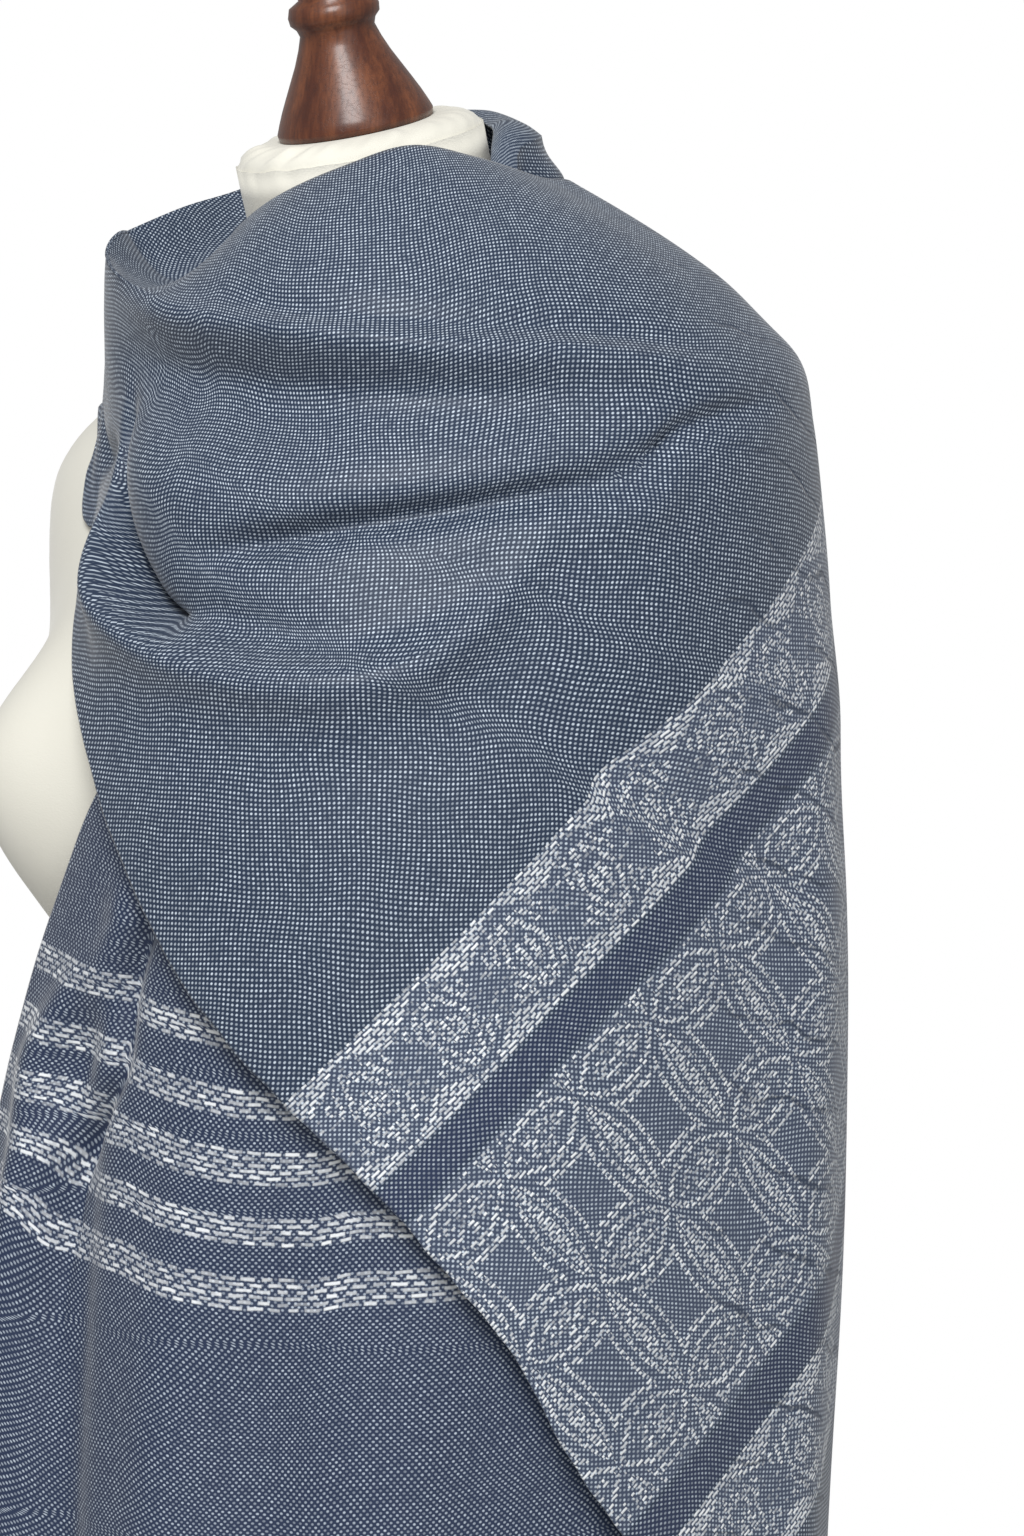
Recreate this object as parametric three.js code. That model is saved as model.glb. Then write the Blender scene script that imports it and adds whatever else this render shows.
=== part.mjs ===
// A long woven silk shawl wound once round a limbless dress form on a table stand.
// Millimetres, +Z up. The form faces -Y and its own left side is +X. The origin is the
// middle of the underside of the base.
// Azimuth: 0 is the form's front, 90 its left shoulder, 180 its back, 270 its right shoulder.
import * as THREE from 'three';
import { mergeVertices } from 'three/addons/utils/BufferGeometryUtils.js';

// Driving dimensions
const CLOTH = 2; // wall of the cloth
const REST = 1.7; // clearance where the cloth lies on the form
const SEAM = 0.4; // degrees between the two stretches that meet over the right shoulder
const JOIN_HEIGHT = 770; // where the hanging end meets the stretch over the left shoulder
const JOIN_GAP = 0.8;
const LAYER = 14; // from the outer face of the wrap to the outer face of the layer under it
const BRIM_SOFTNESS = 34; // mm over which the brim of the cowl rounds into the wall below it
const NECK = { radius: 58, lean: 16, axisHeight: 927, bottom: 885.3, top: 944, topRadius: 40, rise: 1.5 };
const BUST = { azimuth: 29, height: 655, out: 54, wide: 21, above: 62, below: 72 };
const POLE_RADIUS = 14;
const BASE = { radius: 150, thick: 26, collarRadius: 24, collarHeight: 14 };
const ONTO_WALL = [118, 140]; // azimuths over which the wrap passes from its yoke to its plain wall
const BRIM_CROWDING = 1.3; // above 1, rows of points lie closer below a brim than above a hem
const FIT = 0.3; // gap between hard pieces that touch

const DEG = Math.PI / 180;

// ---------------------------------------------------------------- smooth tables

/** Smooth value of one column of a table whose rows are sorted by their key. */
function along(rows, key, column, x) {
  const last = rows.length - 1;
  if (x <= rows[0][key]) return rows[0][column];
  if (x >= rows[last][key]) return rows[last][column];
  let i = 0;
  while (rows[i + 1][key] < x) i += 1;
  const slope = (k) => {
    const before = rows[Math.max(k - 1, 0)];
    const after = rows[Math.min(k + 1, last)];
    return (after[column] - before[column]) / (after[key] - before[key]);
  };
  const step = rows[i + 1][key] - rows[i][key];
  const t = (x - rows[i][key]) / step;
  return (2 * t ** 3 - 3 * t ** 2 + 1) * rows[i][column]
    + (t ** 3 - 2 * t ** 2 + t) * slope(i) * step
    + (3 * t ** 2 - 2 * t ** 3) * rows[i + 1][column]
    + (t ** 3 - t ** 2) * slope(i + 1) * step;
}

/** Smooth closed curve through eight radii, one every 45 degrees of azimuth. */
function aroundEight(values, azimuth) {
  const x = (((azimuth / 45) % 8) + 8) % 8;
  const i = Math.floor(x);
  const t = x - i;
  const [a, b, c, d] = [i + 7, i, i + 1, i + 2].map((k) => values[k % 8]);
  return b + 0.5 * t * (c - a + t * (2 * a - 5 * b + 4 * c - d + t * (3 * (b - c) + d - a)));
}

function smoothStep(from, to, x) {
  const t = THREE.MathUtils.clamp((x - from) / (to - from), 0, 1);
  return t * t * (3 - 2 * t);
}

const lerp = THREE.MathUtils.lerp;
const bell = (x) => Math.exp(-x * x);

function place(azimuth, radius, z) {
  return new THREE.Vector3(radius * Math.sin(azimuth * DEG), -radius * Math.cos(azimuth * DEG), z);
}

// ---------------------------------------------------------------- the form

// Sections of the torso: half width, depth in front of the axis and depth behind it.
const TORSO = [
  { z: 215, side: 160, front: 108, back: 116 },
  { z: 262, side: 168, front: 113, back: 122 },
  { z: 330, side: 165, front: 112, back: 118 },
  { z: 400, side: 145, front: 104, back: 100 },
  { z: 465, side: 122, front: 96, back: 86 },
  { z: 530, side: 128, front: 106, back: 88 },
  { z: 600, side: 148, front: 120, back: 98 },
  { z: 655, side: 156, front: 116, back: 106 },
  { z: 710, side: 168, front: 108, back: 112 },
  { z: 755, side: 179, front: 98, back: 110 },
  { z: 785, side: 182, front: 86, back: 102 },
  { z: 806, side: 170, front: 74, back: 92 },
  { z: 828, side: 136, front: 64, back: 84 },
  { z: 850, side: 98, front: 55, back: 78 },
  { z: 870, side: 72, front: 50, back: 73 },
  { z: 885, side: 60, front: 47, back: 70 },
];
const TORSO_SQUARENESS = 2.3; // exponent of the oval sections, 2 is an ellipse

function formRadius(azimuth, z) {
  const side = along(TORSO, 'z', 'side', z);
  const forward = Math.cos(azimuth * DEG);
  const depth = along(TORSO, 'z', forward > 0 ? 'front' : 'back', z);
  const oval = (Math.abs(Math.sin(azimuth * DEG) / side) ** TORSO_SQUARENESS
    + Math.abs(forward / depth) ** TORSO_SQUARENESS) ** (-1 / TORSO_SQUARENESS);
  const turned = ((azimuth + 180) % 360 + 360) % 360 - 180;
  const tall = z > BUST.height ? BUST.above : BUST.below;
  const swell = bell((Math.abs(turned) - BUST.azimuth) / BUST.wide) * bell((z - BUST.height) / tall);
  return oval + BUST.out * swell;
}

/** Radius of cloth that lies on the form: its whole wall and REST outside, square to the form. */
function lyingRadius(azimuth, z) {
  const slope = (formRadius(azimuth, z - 2) - formRadius(azimuth, z + 2)) / 4;
  return formRadius(azimuth, z) + (CLOTH + REST) * Math.hypot(1, slope);
}

// ---------------------------------------------------------------- the drape

const COLUMNS = ['front', 'frontLeft', 'left', 'backLeft', 'back', 'backRight', 'right', 'frontRight'];

/** One row of radii, a value for each of the eight columns above. */
const ring = (z, ...radii) => Object.fromEntries([['z', z], ...radii.map((r, i) => [COLUMNS[i], r])]);

// Radii of the outer cloth, from the hems up to the neck.
const WALL = [
  ring(190, 204, 200, 196, 212, 166, 160, 170, 210),
  ring(300, 200, 200, 198, 216, 168, 160, 172, 208),
  ring(400, 194, 199, 200, 221, 166, 158, 172, 203),
  ring(500, 186, 200, 202, 223, 160, 156, 172, 193),
  ring(590, 180, 204, 204, 222, 154, 156, 174, 174),
  ring(650, 176, 202, 204, 219, 148, 155, 176, 158),
  ring(710, 164, 188, 204, 216, 142, 152, 178, 142),
  ring(770, 142, 166, 201, 211, 134, 146, 168, 125),
  ring(810, 130, 154, 194, 207, 128, 140, 150, 120),
  ring(840, 123, 149, 178, 201, 120, 132, 138, 120),
  ring(865, 116, 138, 150, 176, 112, 122, 126, 120),
  ring(890, 104, 118, 120, 144, 104, 112, 118, 119),
  ring(920, 86, 92, 94, 98, 92, 96, 98, 112),
];

const brimRow = (azimuth, edgeRadius, edge, dipRadius, dip, brimRadius, brim) => (
  { azimuth, edgeRadius, edge, dipRadius, dip, brimRadius, brim });

// The cloth's way out from its neck edge, over a dip, to the brim from which it hangs:
// radius and height of each. Past azimuth 132 the neck edge runs down over the back.
const WRAP_BRIM = [
  brimRow(-60, 66, 890, 90, 882, 115, 899),
  brimRow(-45, 66, 889, 91, 878, 118, 891),
  brimRow(-30, 67, 890, 93, 876, 118, 879),
  brimRow(-12, 69, 898, 93, 882, 118, 867),
  brimRow(12, 71, 911, 100, 888, 125, 856),
  brimRow(35, 72, 922, 112, 890, 144, 847),
  brimRow(60, 73, 932, 118, 894, 156, 843),
  brimRow(85, 76, 928, 126, 892, 170, 842),
  brimRow(110, 86, 921, 140, 888, 189, 844),
  brimRow(132, 98, 918, 152, 885, 198, 846),
  brimRow(148, 118, 890, 150, 866, 184, 836),
  brimRow(165, 138, 852, 150, 836, 160, 816),
  brimRow(185, 132, 806, 140, 790, 146, 772),
  brimRow(205, 140, 762, 145, 748, 150, 734),
  brimRow(225, 148, 718, 150, 706, 152, 694),
  brimRow(250, 160, 664, 162, 660, 164, 656),
];

// The stretch behind the neck, which stands up as a cowl over the right shoulder.
const COLLAR_BRIM = [
  brimRow(40, 84, 895, 92, 885, 100, 874),
  brimRow(70, 84, 903, 94, 892, 106, 880),
  brimRow(95, 71, 916, 80, 911, 89, 901),
  brimRow(110, 65, 934, 70, 936, 76, 931),
  brimRow(125, 65, 944, 72, 947, 80, 940),
  brimRow(142, 64, 948, 72, 951, 82, 944),
  brimRow(165, 62, 952, 66, 957, 72, 954),
  brimRow(195, 60, 952, 65, 957, 72, 954),
  brimRow(225, 60, 942, 68, 946, 79, 947),
  brimRow(250, 62, 920, 73, 920, 88, 933),
  brimRow(265, 64, 906, 77, 904, 93, 922),
  brimRow(285, 65, 896, 82, 892, 99, 912),
  brimRow(300, 66, 891, 90, 883, 114, 900),
];

const edgeRow = (azimuth, z) => ({ azimuth, z });

// Lower edge of the wrap: its selvedge down to the corner, then the hem up round the back.
const WRAP_LOWER = [
  edgeRow(-40, 762), edgeRow(-30, 744), edgeRow(-18, 728), edgeRow(-8, 692), edgeRow(-1, 665),
  edgeRow(4, 642), edgeRow(11, 609), edgeRow(19, 572), edgeRow(30, 532), edgeRow(39, 503),
  edgeRow(47, 475), edgeRow(55, 442), edgeRow(62, 412), edgeRow(70, 364), edgeRow(78, 328),
  edgeRow(88, 284), edgeRow(98, 244), edgeRow(107, 214), edgeRow(120, 254), edgeRow(135, 308),
  edgeRow(165, 404), edgeRow(195, 486), edgeRow(225, 568), edgeRow(250, 642),
];
const COLLAR_LOWER = [
  edgeRow(40, JOIN_HEIGHT), edgeRow(70, JOIN_HEIGHT), edgeRow(100, JOIN_HEIGHT), edgeRow(125, 742),
  edgeRow(150, 704), edgeRow(180, 676), edgeRow(205, 680), edgeRow(228, 718), edgeRow(248, 774),
  edgeRow(262, 808), edgeRow(275, 819), edgeRow(290, 817), edgeRow(302, 800), edgeRow(312, 774),
  edgeRow(320, 762),
];

// Where the hanging end's two selvedges run.
const END_EDGES = [
  { z: 200, right: -30, left: 94 }, { z: 300, right: -29, left: 95 }, { z: 400, right: -28, left: 96 },
  { z: 486, right: -26, left: 97 }, { z: 550, right: -22, left: 98 }, { z: 582, right: -18, left: 99 },
  { z: 620, right: -10, left: 100 }, { z: 640, right: -5, left: 100 }, { z: 690, right: 10, left: 100 },
  { z: 730, right: 26, left: 100 }, { z: JOIN_HEIGHT, right: 40, left: 100 },
];

// Folds that run across the wrap. depth is outward where positive, above and below are the
// fold's widths on each side of its line, and it fades in and out between four azimuths.
const SWAG_FOLDS = [
  { name: 'upper pleat recess', depth: -8, above: 16, below: 30, fade: [-40, 10, 60, 105],
    line: [edgeRow(-40, 842), edgeRow(20, 824), edgeRow(48, 816), edgeRow(100, 818)] },
  { name: 'upper pleat belly', depth: 9, above: 24, below: 22, fade: [-20, 5, 40, 85],
    line: [edgeRow(-20, 805), edgeRow(20, 778), edgeRow(60, 796)] },
  { name: 'shoulder crease', depth: -7, above: 8, below: 14, fade: [8, 32, 84, 114],
    line: [edgeRow(10, 748), edgeRow(38, 761), edgeRow(64, 774), edgeRow(85, 792), edgeRow(111, 819)] },
  { name: 'mouth of the pocket', depth: -6, above: 9, below: 7, fade: [-60, -48, -30, -12],
    line: [edgeRow(-50, 785), edgeRow(-17, 784)] },
  { name: 'pocket', depth: -20, above: 16, below: 8, fade: [-32, -14, 12, 52],
    line: [edgeRow(-17, 784), edgeRow(-6, 770), edgeRow(3, 752), edgeRow(11, 737), edgeRow(18, 723),
      edgeRow(30, 712), edgeRow(45, 712), edgeRow(58, 730)] },
  { name: 'main swag ridge', depth: 15, above: 11, below: 28, fade: [-26, -4, 32, 76],
    line: [edgeRow(-17, 776), edgeRow(1, 744), edgeRow(12, 722), edgeRow(20, 711), edgeRow(34, 699),
      edgeRow(45, 700), edgeRow(55, 719), edgeRow(70, 764)] },
];

// Upright folds: azimuth at the top and at the foot, width in degrees, and the heights
// between which each one grows from nothing to its depth.
const UPRIGHT_FOLDS = [
  { name: 'left arm', top: 118, foot: 112, depth: 6, width: 7, from: 800, to: 560 },
  { name: 'left back', top: 150, foot: 146, depth: -12, width: 8, from: 850, to: 620 },
  { name: 'shoulder blade', top: 166, foot: 164, depth: 13, width: 7, from: 820, to: 600 },
  { name: 'middle back', top: 184, foot: 183, depth: -9, width: 7, from: 780, to: 600 },
  { name: 'right of the spine', top: 201, foot: 201, depth: 10, width: 7, from: 740, to: 600 },
];

const END_FOLDS = [
  { name: 'stripe pleat', top: 0, foot: -14, depth: 10, width: 5, from: 600, to: 520 },
  { name: 'stripe pleat valley', top: 9, foot: -4, depth: -9, width: 5, from: 600, to: 520 },
  { name: 'front wave', top: 22, foot: 14, depth: 6, width: 7, from: 560, to: 380 },
  { name: 'front valley', top: 36, foot: 30, depth: -7, width: 7, from: 520, to: 380 },
  { name: 'side wave', top: 52, foot: 48, depth: 5, width: 7, from: 480, to: 340 },
];

const COLLAR_FOLDS = [
  { name: 'nape fold', top: 172, foot: 160, depth: 9, width: 11, from: 950, to: 880 },
  { name: 'right shoulder fold', top: 250, foot: 238, depth: 8, width: 10, from: 910, to: 850 },
  { name: 'back valley', top: 212, foot: 204, depth: -7, width: 10, from: 930, to: 850 },
];

function wallRadius(azimuth, z) {
  return aroundEight(COLUMNS.map((column) => along(WALL, 'z', column, z)), azimuth);
}

function swagDepth(azimuth, z) {
  return SWAG_FOLDS.reduce((sum, { depth, above, below, fade, line }) => {
    const off = z - along(line, 'azimuth', 'z', azimuth);
    const part = smoothStep(fade[0], fade[1], azimuth) * (1 - smoothStep(fade[2], fade[3], azimuth));
    return sum + depth * part * bell(off / (off > 0 ? above : below));
  }, 0);
}

function uprightDepth(folds, azimuth, z) {
  return folds.reduce((sum, { top, foot, depth, width, from, to }) => {
    const grown = 1 - smoothStep(to, from, z);
    return sum + depth * grown * bell((azimuth - lerp(top, foot, grown)) / width);
  }, 0);
}

/** From the neck edge (0) over the dip to the brim (1). */
function yoke(table, azimuth, t) {
  const weights = [(1 - t) * (1 - 2 * t), 4 * t * (1 - t), t * (2 * t - 1)];
  const blend = (columns) => columns.reduce(
    (sum, column, i) => sum + weights[i] * along(table, 'azimuth', column, azimuth), 0);
  return { radius: blend(['edgeRadius', 'dipRadius', 'brimRadius']), z: blend(['edge', 'dip', 'brim']) };
}

/** Radius of the hanging cloth below a brim. */
function hangingRadius(base, brim, azimuth, z) {
  return base(azimuth, z) + (brim.radius - base(azimuth, brim.z)) * Math.exp((z - brim.z) / BRIM_SOFTNESS);
}

/** Point of the wrap: down is 0 at the neck edge, 1 at the brim and 2 at the lower edge. */
function wrapPoint(azimuth, down) {
  const onWall = smoothStep(...ONTO_WALL, azimuth);
  const brim = yoke(WRAP_BRIM, azimuth, 1);
  let { radius, z } = yoke(WRAP_BRIM, azimuth, Math.min(down, 1));
  if (down > 1) {
    z = lerp(brim.z, along(WRAP_LOWER, 'azimuth', 'z', azimuth), down - 1);
    radius = hangingRadius(wallRadius, brim, azimuth, z);
  }
  radius = lerp(radius, wallRadius(azimuth, z), onWall);
  radius += swagDepth(azimuth, z) + uprightDepth(UPRIGHT_FOLDS, azimuth, z);
  return { azimuth, z, radius: Math.max(radius, lyingRadius(azimuth, z)) };
}

/** Radius of the plain wrap at a height, without its folds. */
function outerRadius(azimuth, z) {
  const brim = yoke(WRAP_BRIM, azimuth, 1);
  const onWall = smoothStep(...ONTO_WALL, azimuth);
  let radius = hangingRadius(wallRadius, brim, azimuth, Math.min(z, brim.z));
  if (z > brim.z) {
    let [high, low] = [0, 1];
    for (let i = 0; i < 24; i += 1) {
      const middle = (high + low) / 2;
      if (yoke(WRAP_BRIM, azimuth, middle).z > z) high = middle;
      else low = middle;
    }
    radius = yoke(WRAP_BRIM, azimuth, low).radius;
  }
  return lerp(radius, wallRadius(azimuth, z), onWall);
}

/** Radius of the layer that lies under the wrap. */
function underRadius(azimuth, z) {
  const uncovered = smoothStep(240, 262, azimuth);
  const chest = 12 * smoothStep(680, 740, z) * (1 - smoothStep(30, 60, azimuth));
  const radius = outerRadius(azimuth, z) - (LAYER + chest) * (1 - uncovered);
  return Math.max(radius, lyingRadius(azimuth, z));
}

/** Point of the stretch behind the neck, with down as in the wrap. */
function collarPoint(azimuth, down) {
  const brim = yoke(COLLAR_BRIM, azimuth, 1);
  const lower = along(COLLAR_LOWER, 'azimuth', 'z', azimuth);
  let { radius, z } = yoke(COLLAR_BRIM, azimuth, Math.min(down, 1));
  if (down > 1) {
    z = lerp(brim.z, lower, down - 1);
    radius = hangingRadius(underRadius, brim, azimuth, z);
  }
  radius += uprightDepth(COLLAR_FOLDS, azimuth, z) * smoothStep(0, 0.8, down);
  const wrapped = wrapPoint(azimuth - 360, down);
  const seam = smoothStep(300, 320, azimuth);
  z = lerp(z, wrapped.z, seam);
  radius = lerp(radius, wrapped.radius, seam);
  if (z < NECK.bottom) radius = Math.max(radius, lyingRadius(azimuth, z));
  return { azimuth, z, radius };
}

/** Point of the hanging end: across from its right selvedge to its left, down to its hem. */
function endPoint(across, down) {
  const z = lerp(JOIN_HEIGHT - JOIN_GAP, 200, down);
  const [right, left] = ['right', 'left'].map((side) => along(END_EDGES, 'z', side, z));
  const azimuth = lerp(right, left, across);
  const radius = underRadius(azimuth, z) + uprightDepth(END_FOLDS, azimuth, z);
  return { azimuth, z, radius: Math.max(radius, lyingRadius(azimuth, z)) };
}

// ---------------------------------------------------------------- solids

const solidOf = (positions, faces) => {
  const geometry = new THREE.BufferGeometry();
  geometry.setAttribute('position', new THREE.Float32BufferAttribute(positions, 3));
  geometry.setIndex(faces);
  return geometry;
};

/** A wall of cloth: its outer face is a grid of points, its inner face lies CLOTH inside. */
function clothWall(pointAt, columns, rows) {
  const outer = [];
  for (let j = 0; j <= rows; j += 1) {
    for (let i = 0; i <= columns; i += 1) {
      const { azimuth, radius, z } = pointAt(i / columns, j / rows);
      outer.push(place(azimuth, radius, z));
    }
  }
  const at = (i, j) => outer[THREE.MathUtils.clamp(j, 0, rows) * (columns + 1)
    + THREE.MathUtils.clamp(i, 0, columns)];
  const positions = outer.flatMap((point) => point.toArray());
  for (let j = 0; j <= rows; j += 1) {
    for (let i = 0; i <= columns; i += 1) {
      const acrossway = at(i + 1, j).clone().sub(at(i - 1, j));
      const downway = at(i, j + 1).clone().sub(at(i, j - 1));
      const normal = downway.cross(acrossway).normalize();
      positions.push(...at(i, j).clone().addScaledVector(normal, -CLOTH).toArray());
    }
  }
  const count = outer.length;
  const id = (i, j) => j * (columns + 1) + i;
  const faces = [];
  const quad = (a, b, c, d) => faces.push(a, b, c, a, c, d);
  for (let j = 0; j < rows; j += 1) {
    for (let i = 0; i < columns; i += 1) {
      const [a, b, c, d] = [id(i, j), id(i, j + 1), id(i + 1, j + 1), id(i + 1, j)];
      quad(a, b, c, d);
      quad(a + count, d + count, c + count, b + count);
    }
  }
  for (let i = 0; i < columns; i += 1) {
    quad(id(i + 1, 0), id(i + 1, 0) + count, id(i, 0) + count, id(i, 0));
    quad(id(i, rows), id(i, rows) + count, id(i + 1, rows) + count, id(i + 1, rows));
  }
  for (let j = 0; j < rows; j += 1) {
    quad(id(0, j), id(0, j) + count, id(0, j + 1) + count, id(0, j + 1));
    quad(id(columns, j + 1), id(columns, j + 1) + count, id(columns, j) + count, id(columns, j));
  }
  return solidOf(positions, faces);
}

/** A closed body through rings of points, each ring listed anticlockwise from above, upwards. */
function loft(rings) {
  const sides = rings[0].length;
  const positions = rings.flat().flatMap((point) => point.toArray());
  const middle = (points) => points.reduce((sum, p) => sum.add(p), new THREE.Vector3())
    .divideScalar(points.length).toArray();
  const bottom = sides * rings.length;
  positions.push(...middle(rings[0]), ...middle(rings[rings.length - 1]));
  const faces = [];
  for (let i = 0; i < sides; i += 1) {
    const next = (i + 1) % sides;
    for (let j = 0; j + 1 < rings.length; j += 1) {
      const [low, high] = [j * sides, (j + 1) * sides];
      faces.push(low + i, low + next, high + next, low + i, high + next, high + i);
    }
    const top = (rings.length - 1) * sides;
    faces.push(bottom, next, i, bottom + 1, top + i, top + next);
  }
  return solidOf(positions, faces);
}

function torso() {
  const sides = 32;
  const heights = [215, 240, 280, 325, 370, 415, 460, 505, 545, 580, 606, 630, 652, 674, 697,
    722, 746, 766, 782, 794, 804, 814, 826, 838, 852, 869, 885];
  const rings = heights.map((z) => Array.from({ length: sides }, (_, i) => {
    const azimuth = (i * 360) / sides;
    return place(azimuth, formRadius(azimuth, z), z);
  }));
  return loft(rings);
}

/** Height and tilt of the leaning neck: 0 at its foot, 1 at the rim of its cap. */
function neckFrame(t) {
  const lean = NECK.lean * DEG;
  const z = lerp(NECK.bottom, NECK.top, t);
  const centre = new THREE.Vector3(0, (NECK.axisHeight - z) * Math.tan(lean), z);
  return new THREE.Matrix4().makeRotationX(lean * smoothStep(0, 0.7, t)).setPosition(centre);
}

function neckCap() {
  const sides = 36;
  // place up the neck, ring radius and rise above that place's own plane
  const rows = [
    { t: 0, radius: NECK.radius, rise: 0 }, { t: 0.35, radius: NECK.radius, rise: 0 },
    { t: 0.7, radius: NECK.radius, rise: 0 }, { t: 1, radius: NECK.radius - 1, rise: -8 },
    { t: 1, radius: 54, rise: -2.5 }, { t: 1, radius: 48, rise: 0.5 },
    { t: 1, radius: NECK.topRadius, rise: NECK.rise },
  ];
  return loft(rows.map(({ t, radius, rise }) => Array.from({ length: sides }, (_, i) => {
    const azimuth = (i * 360) / sides;
    return place(azimuth, radius, rise).applyMatrix4(neckFrame(t));
  })));
}

/** A turned piece from its half outline, standing on z = 0. */
function turned(outline, sides) {
  const points = [[0, 0], ...outline, [0, outline[outline.length - 1][1]]];
  const shape = points.map(([radius, height]) => new THREE.Vector2(radius, height));
  const geometry = new THREE.LatheGeometry(shape, sides);
  geometry.deleteAttribute('normal');
  geometry.deleteAttribute('uv');
  geometry.rotateX(Math.PI / 2);
  return mergeVertices(geometry, 1e-4);
}

// Half outline of the finial: a bell, a narrow waist, a bead and a low dome.
const FINIAL = [
  [36, 0], [36.4, 3], [34.8, 7], [32.6, 12], [29.6, 18], [26, 25], [22.4, 32], [19.4, 39], [17.4, 45],
  [18.4, 48], [20.8, 50.5], [21.2, 54], [20, 58], [15, 61], [16, 66], [13.5, 72], [7, 76], [2, 77],
];

function finial() {
  const geometry = turned(FINIAL, 28);
  const seat = neckFrame(1).multiply(new THREE.Matrix4().makeTranslation(0, 0, NECK.rise + FIT));
  return geometry.applyMatrix4(seat);
}

const material = (color, roughness, metalness = 0) => (
  new THREE.MeshStandardMaterial({ color, roughness, metalness, side: THREE.FrontSide }));

const CLOTH_COLOUR = 0x5f6f8c;
const UNDER_COLOUR = 0x566680;
const JERSEY = 0xe9e4d6;
const WOOD = 0x5b2416;
const STEEL = 0x8e8f90;

const part = new THREE.Group();

function add(name, geometry, look) {
  const mesh = new THREE.Mesh(geometry, look);
  mesh.name = name;
  part.add(mesh);
}

const WRAP_SPAN = { from: -40 + SEAM / 2, to: 250, columns: 60, yokeRows: 7, rows: 26 };
const COLLAR_SPAN = { from: 40, to: 320 - SEAM / 2, columns: 44, yokeRows: 5, rows: 14 };

/** Share of a stretch's rows that lie above the brim, so that both faces share its line. */
const downAt = ({ yokeRows, rows }, v) => {
  const row = v * rows;
  if (row <= yokeRows) return row / yokeRows;
  return 1 + ((row - yokeRows) / (rows - yokeRows)) ** BRIM_CROWDING;
};

add('scarf_wrap', clothWall(
  (u, v) => wrapPoint(lerp(WRAP_SPAN.from, WRAP_SPAN.to, u), downAt(WRAP_SPAN, v)),
  WRAP_SPAN.columns, WRAP_SPAN.rows), material(CLOTH_COLOUR, 0.62));
add('scarf_collar', clothWall(
  (u, v) => collarPoint(lerp(COLLAR_SPAN.from, COLLAR_SPAN.to, u), downAt(COLLAR_SPAN, v)),
  COLLAR_SPAN.columns, COLLAR_SPAN.rows), material(CLOTH_COLOUR, 0.62));
add('scarf_end', clothWall(endPoint, 26, 22), material(UNDER_COLOUR, 0.62));
add('form_torso', torso(), material(JERSEY, 0.85));
add('form_neck_cap', neckCap(), material(JERSEY, 0.85));
add('neck_finial', finial(), material(WOOD, 0.3));

const poleBottom = BASE.thick + BASE.collarHeight + FIT;
const pole = new THREE.CylinderGeometry(POLE_RADIUS, POLE_RADIUS, TORSO[0].z - FIT - poleBottom, 28);
pole.rotateX(Math.PI / 2);
pole.translate(0, 0, (TORSO[0].z - FIT + poleBottom) / 2);
add('stand_pole', pole, material(STEEL, 0.3, 0.9));
add('stand_base', turned([
  [BASE.radius - 2, 0], [BASE.radius, 3], [BASE.radius, BASE.thick - 8], [BASE.radius - 3, BASE.thick - 3],
  [BASE.radius - 9, BASE.thick], [BASE.collarRadius + 8, BASE.thick + 2],
  [BASE.collarRadius, BASE.thick + 6], [BASE.collarRadius, BASE.thick + BASE.collarHeight],
], 40), material(WOOD, 0.35));

export default part;
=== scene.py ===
"""A woven silk shawl wound round a limbless dress form: cloth, weave, jersey, wood and studio."""

import math

import bpy
import numpy as np
from mathutils import Matrix, Vector


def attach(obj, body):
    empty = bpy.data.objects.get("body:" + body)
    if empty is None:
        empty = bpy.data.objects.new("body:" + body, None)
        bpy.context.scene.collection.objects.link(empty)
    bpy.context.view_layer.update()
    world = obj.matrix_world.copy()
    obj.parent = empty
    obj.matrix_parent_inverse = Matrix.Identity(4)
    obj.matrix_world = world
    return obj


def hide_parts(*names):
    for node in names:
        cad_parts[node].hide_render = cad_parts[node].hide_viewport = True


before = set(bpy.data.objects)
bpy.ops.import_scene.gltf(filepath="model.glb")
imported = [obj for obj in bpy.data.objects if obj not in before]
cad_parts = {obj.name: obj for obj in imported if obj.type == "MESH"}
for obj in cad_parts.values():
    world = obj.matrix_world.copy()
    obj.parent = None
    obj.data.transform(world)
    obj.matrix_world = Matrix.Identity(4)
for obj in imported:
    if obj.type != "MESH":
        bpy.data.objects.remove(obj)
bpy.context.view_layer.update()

# Sizes are in millimetres, as in the part's source, until a mesh is made. Azimuth 0 is the form's
# front (-Y), 90 its left shoulder (+X), 180 its back and 270 its right shoulder.
MM = 0.001
SHELL = 1.2  # wall of the shown cloth
CLOTH = 2.0  # wall of the cloth in the solids
REST = 1.7  # clearance where the cloth lies on the form
JOIN_HEIGHT = 770  # where the hanging end meets the stretch over the left shoulder
JOIN_GAP = 0.8
END_BOTTOM = 200
LAYER = 14  # from the outer face of the wrap to the outer face of the layer under it
BRIM_SOFTNESS = 34  # height over which the brim rounds into the wall below it
ONTO_WALL = (118, 140)  # azimuths over which the wrap passes from its yoke to its plain wall
UNCOVERED = (240, 262)  # azimuths over which the collar comes out from under the wrap
CHEST_IN = 12  # how much further in the layer under the wrap lies at the chest
CHEST_HEIGHTS = (680, 740)
CHEST_AZIMUTHS = (30, 60)
SEAM_AZIMUTH = -40  # the cloth is the collar's before it and the wrap's from it on
SEAM_SPAN = (300, 320)  # azimuths over which the collar passes into the wrap
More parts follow.
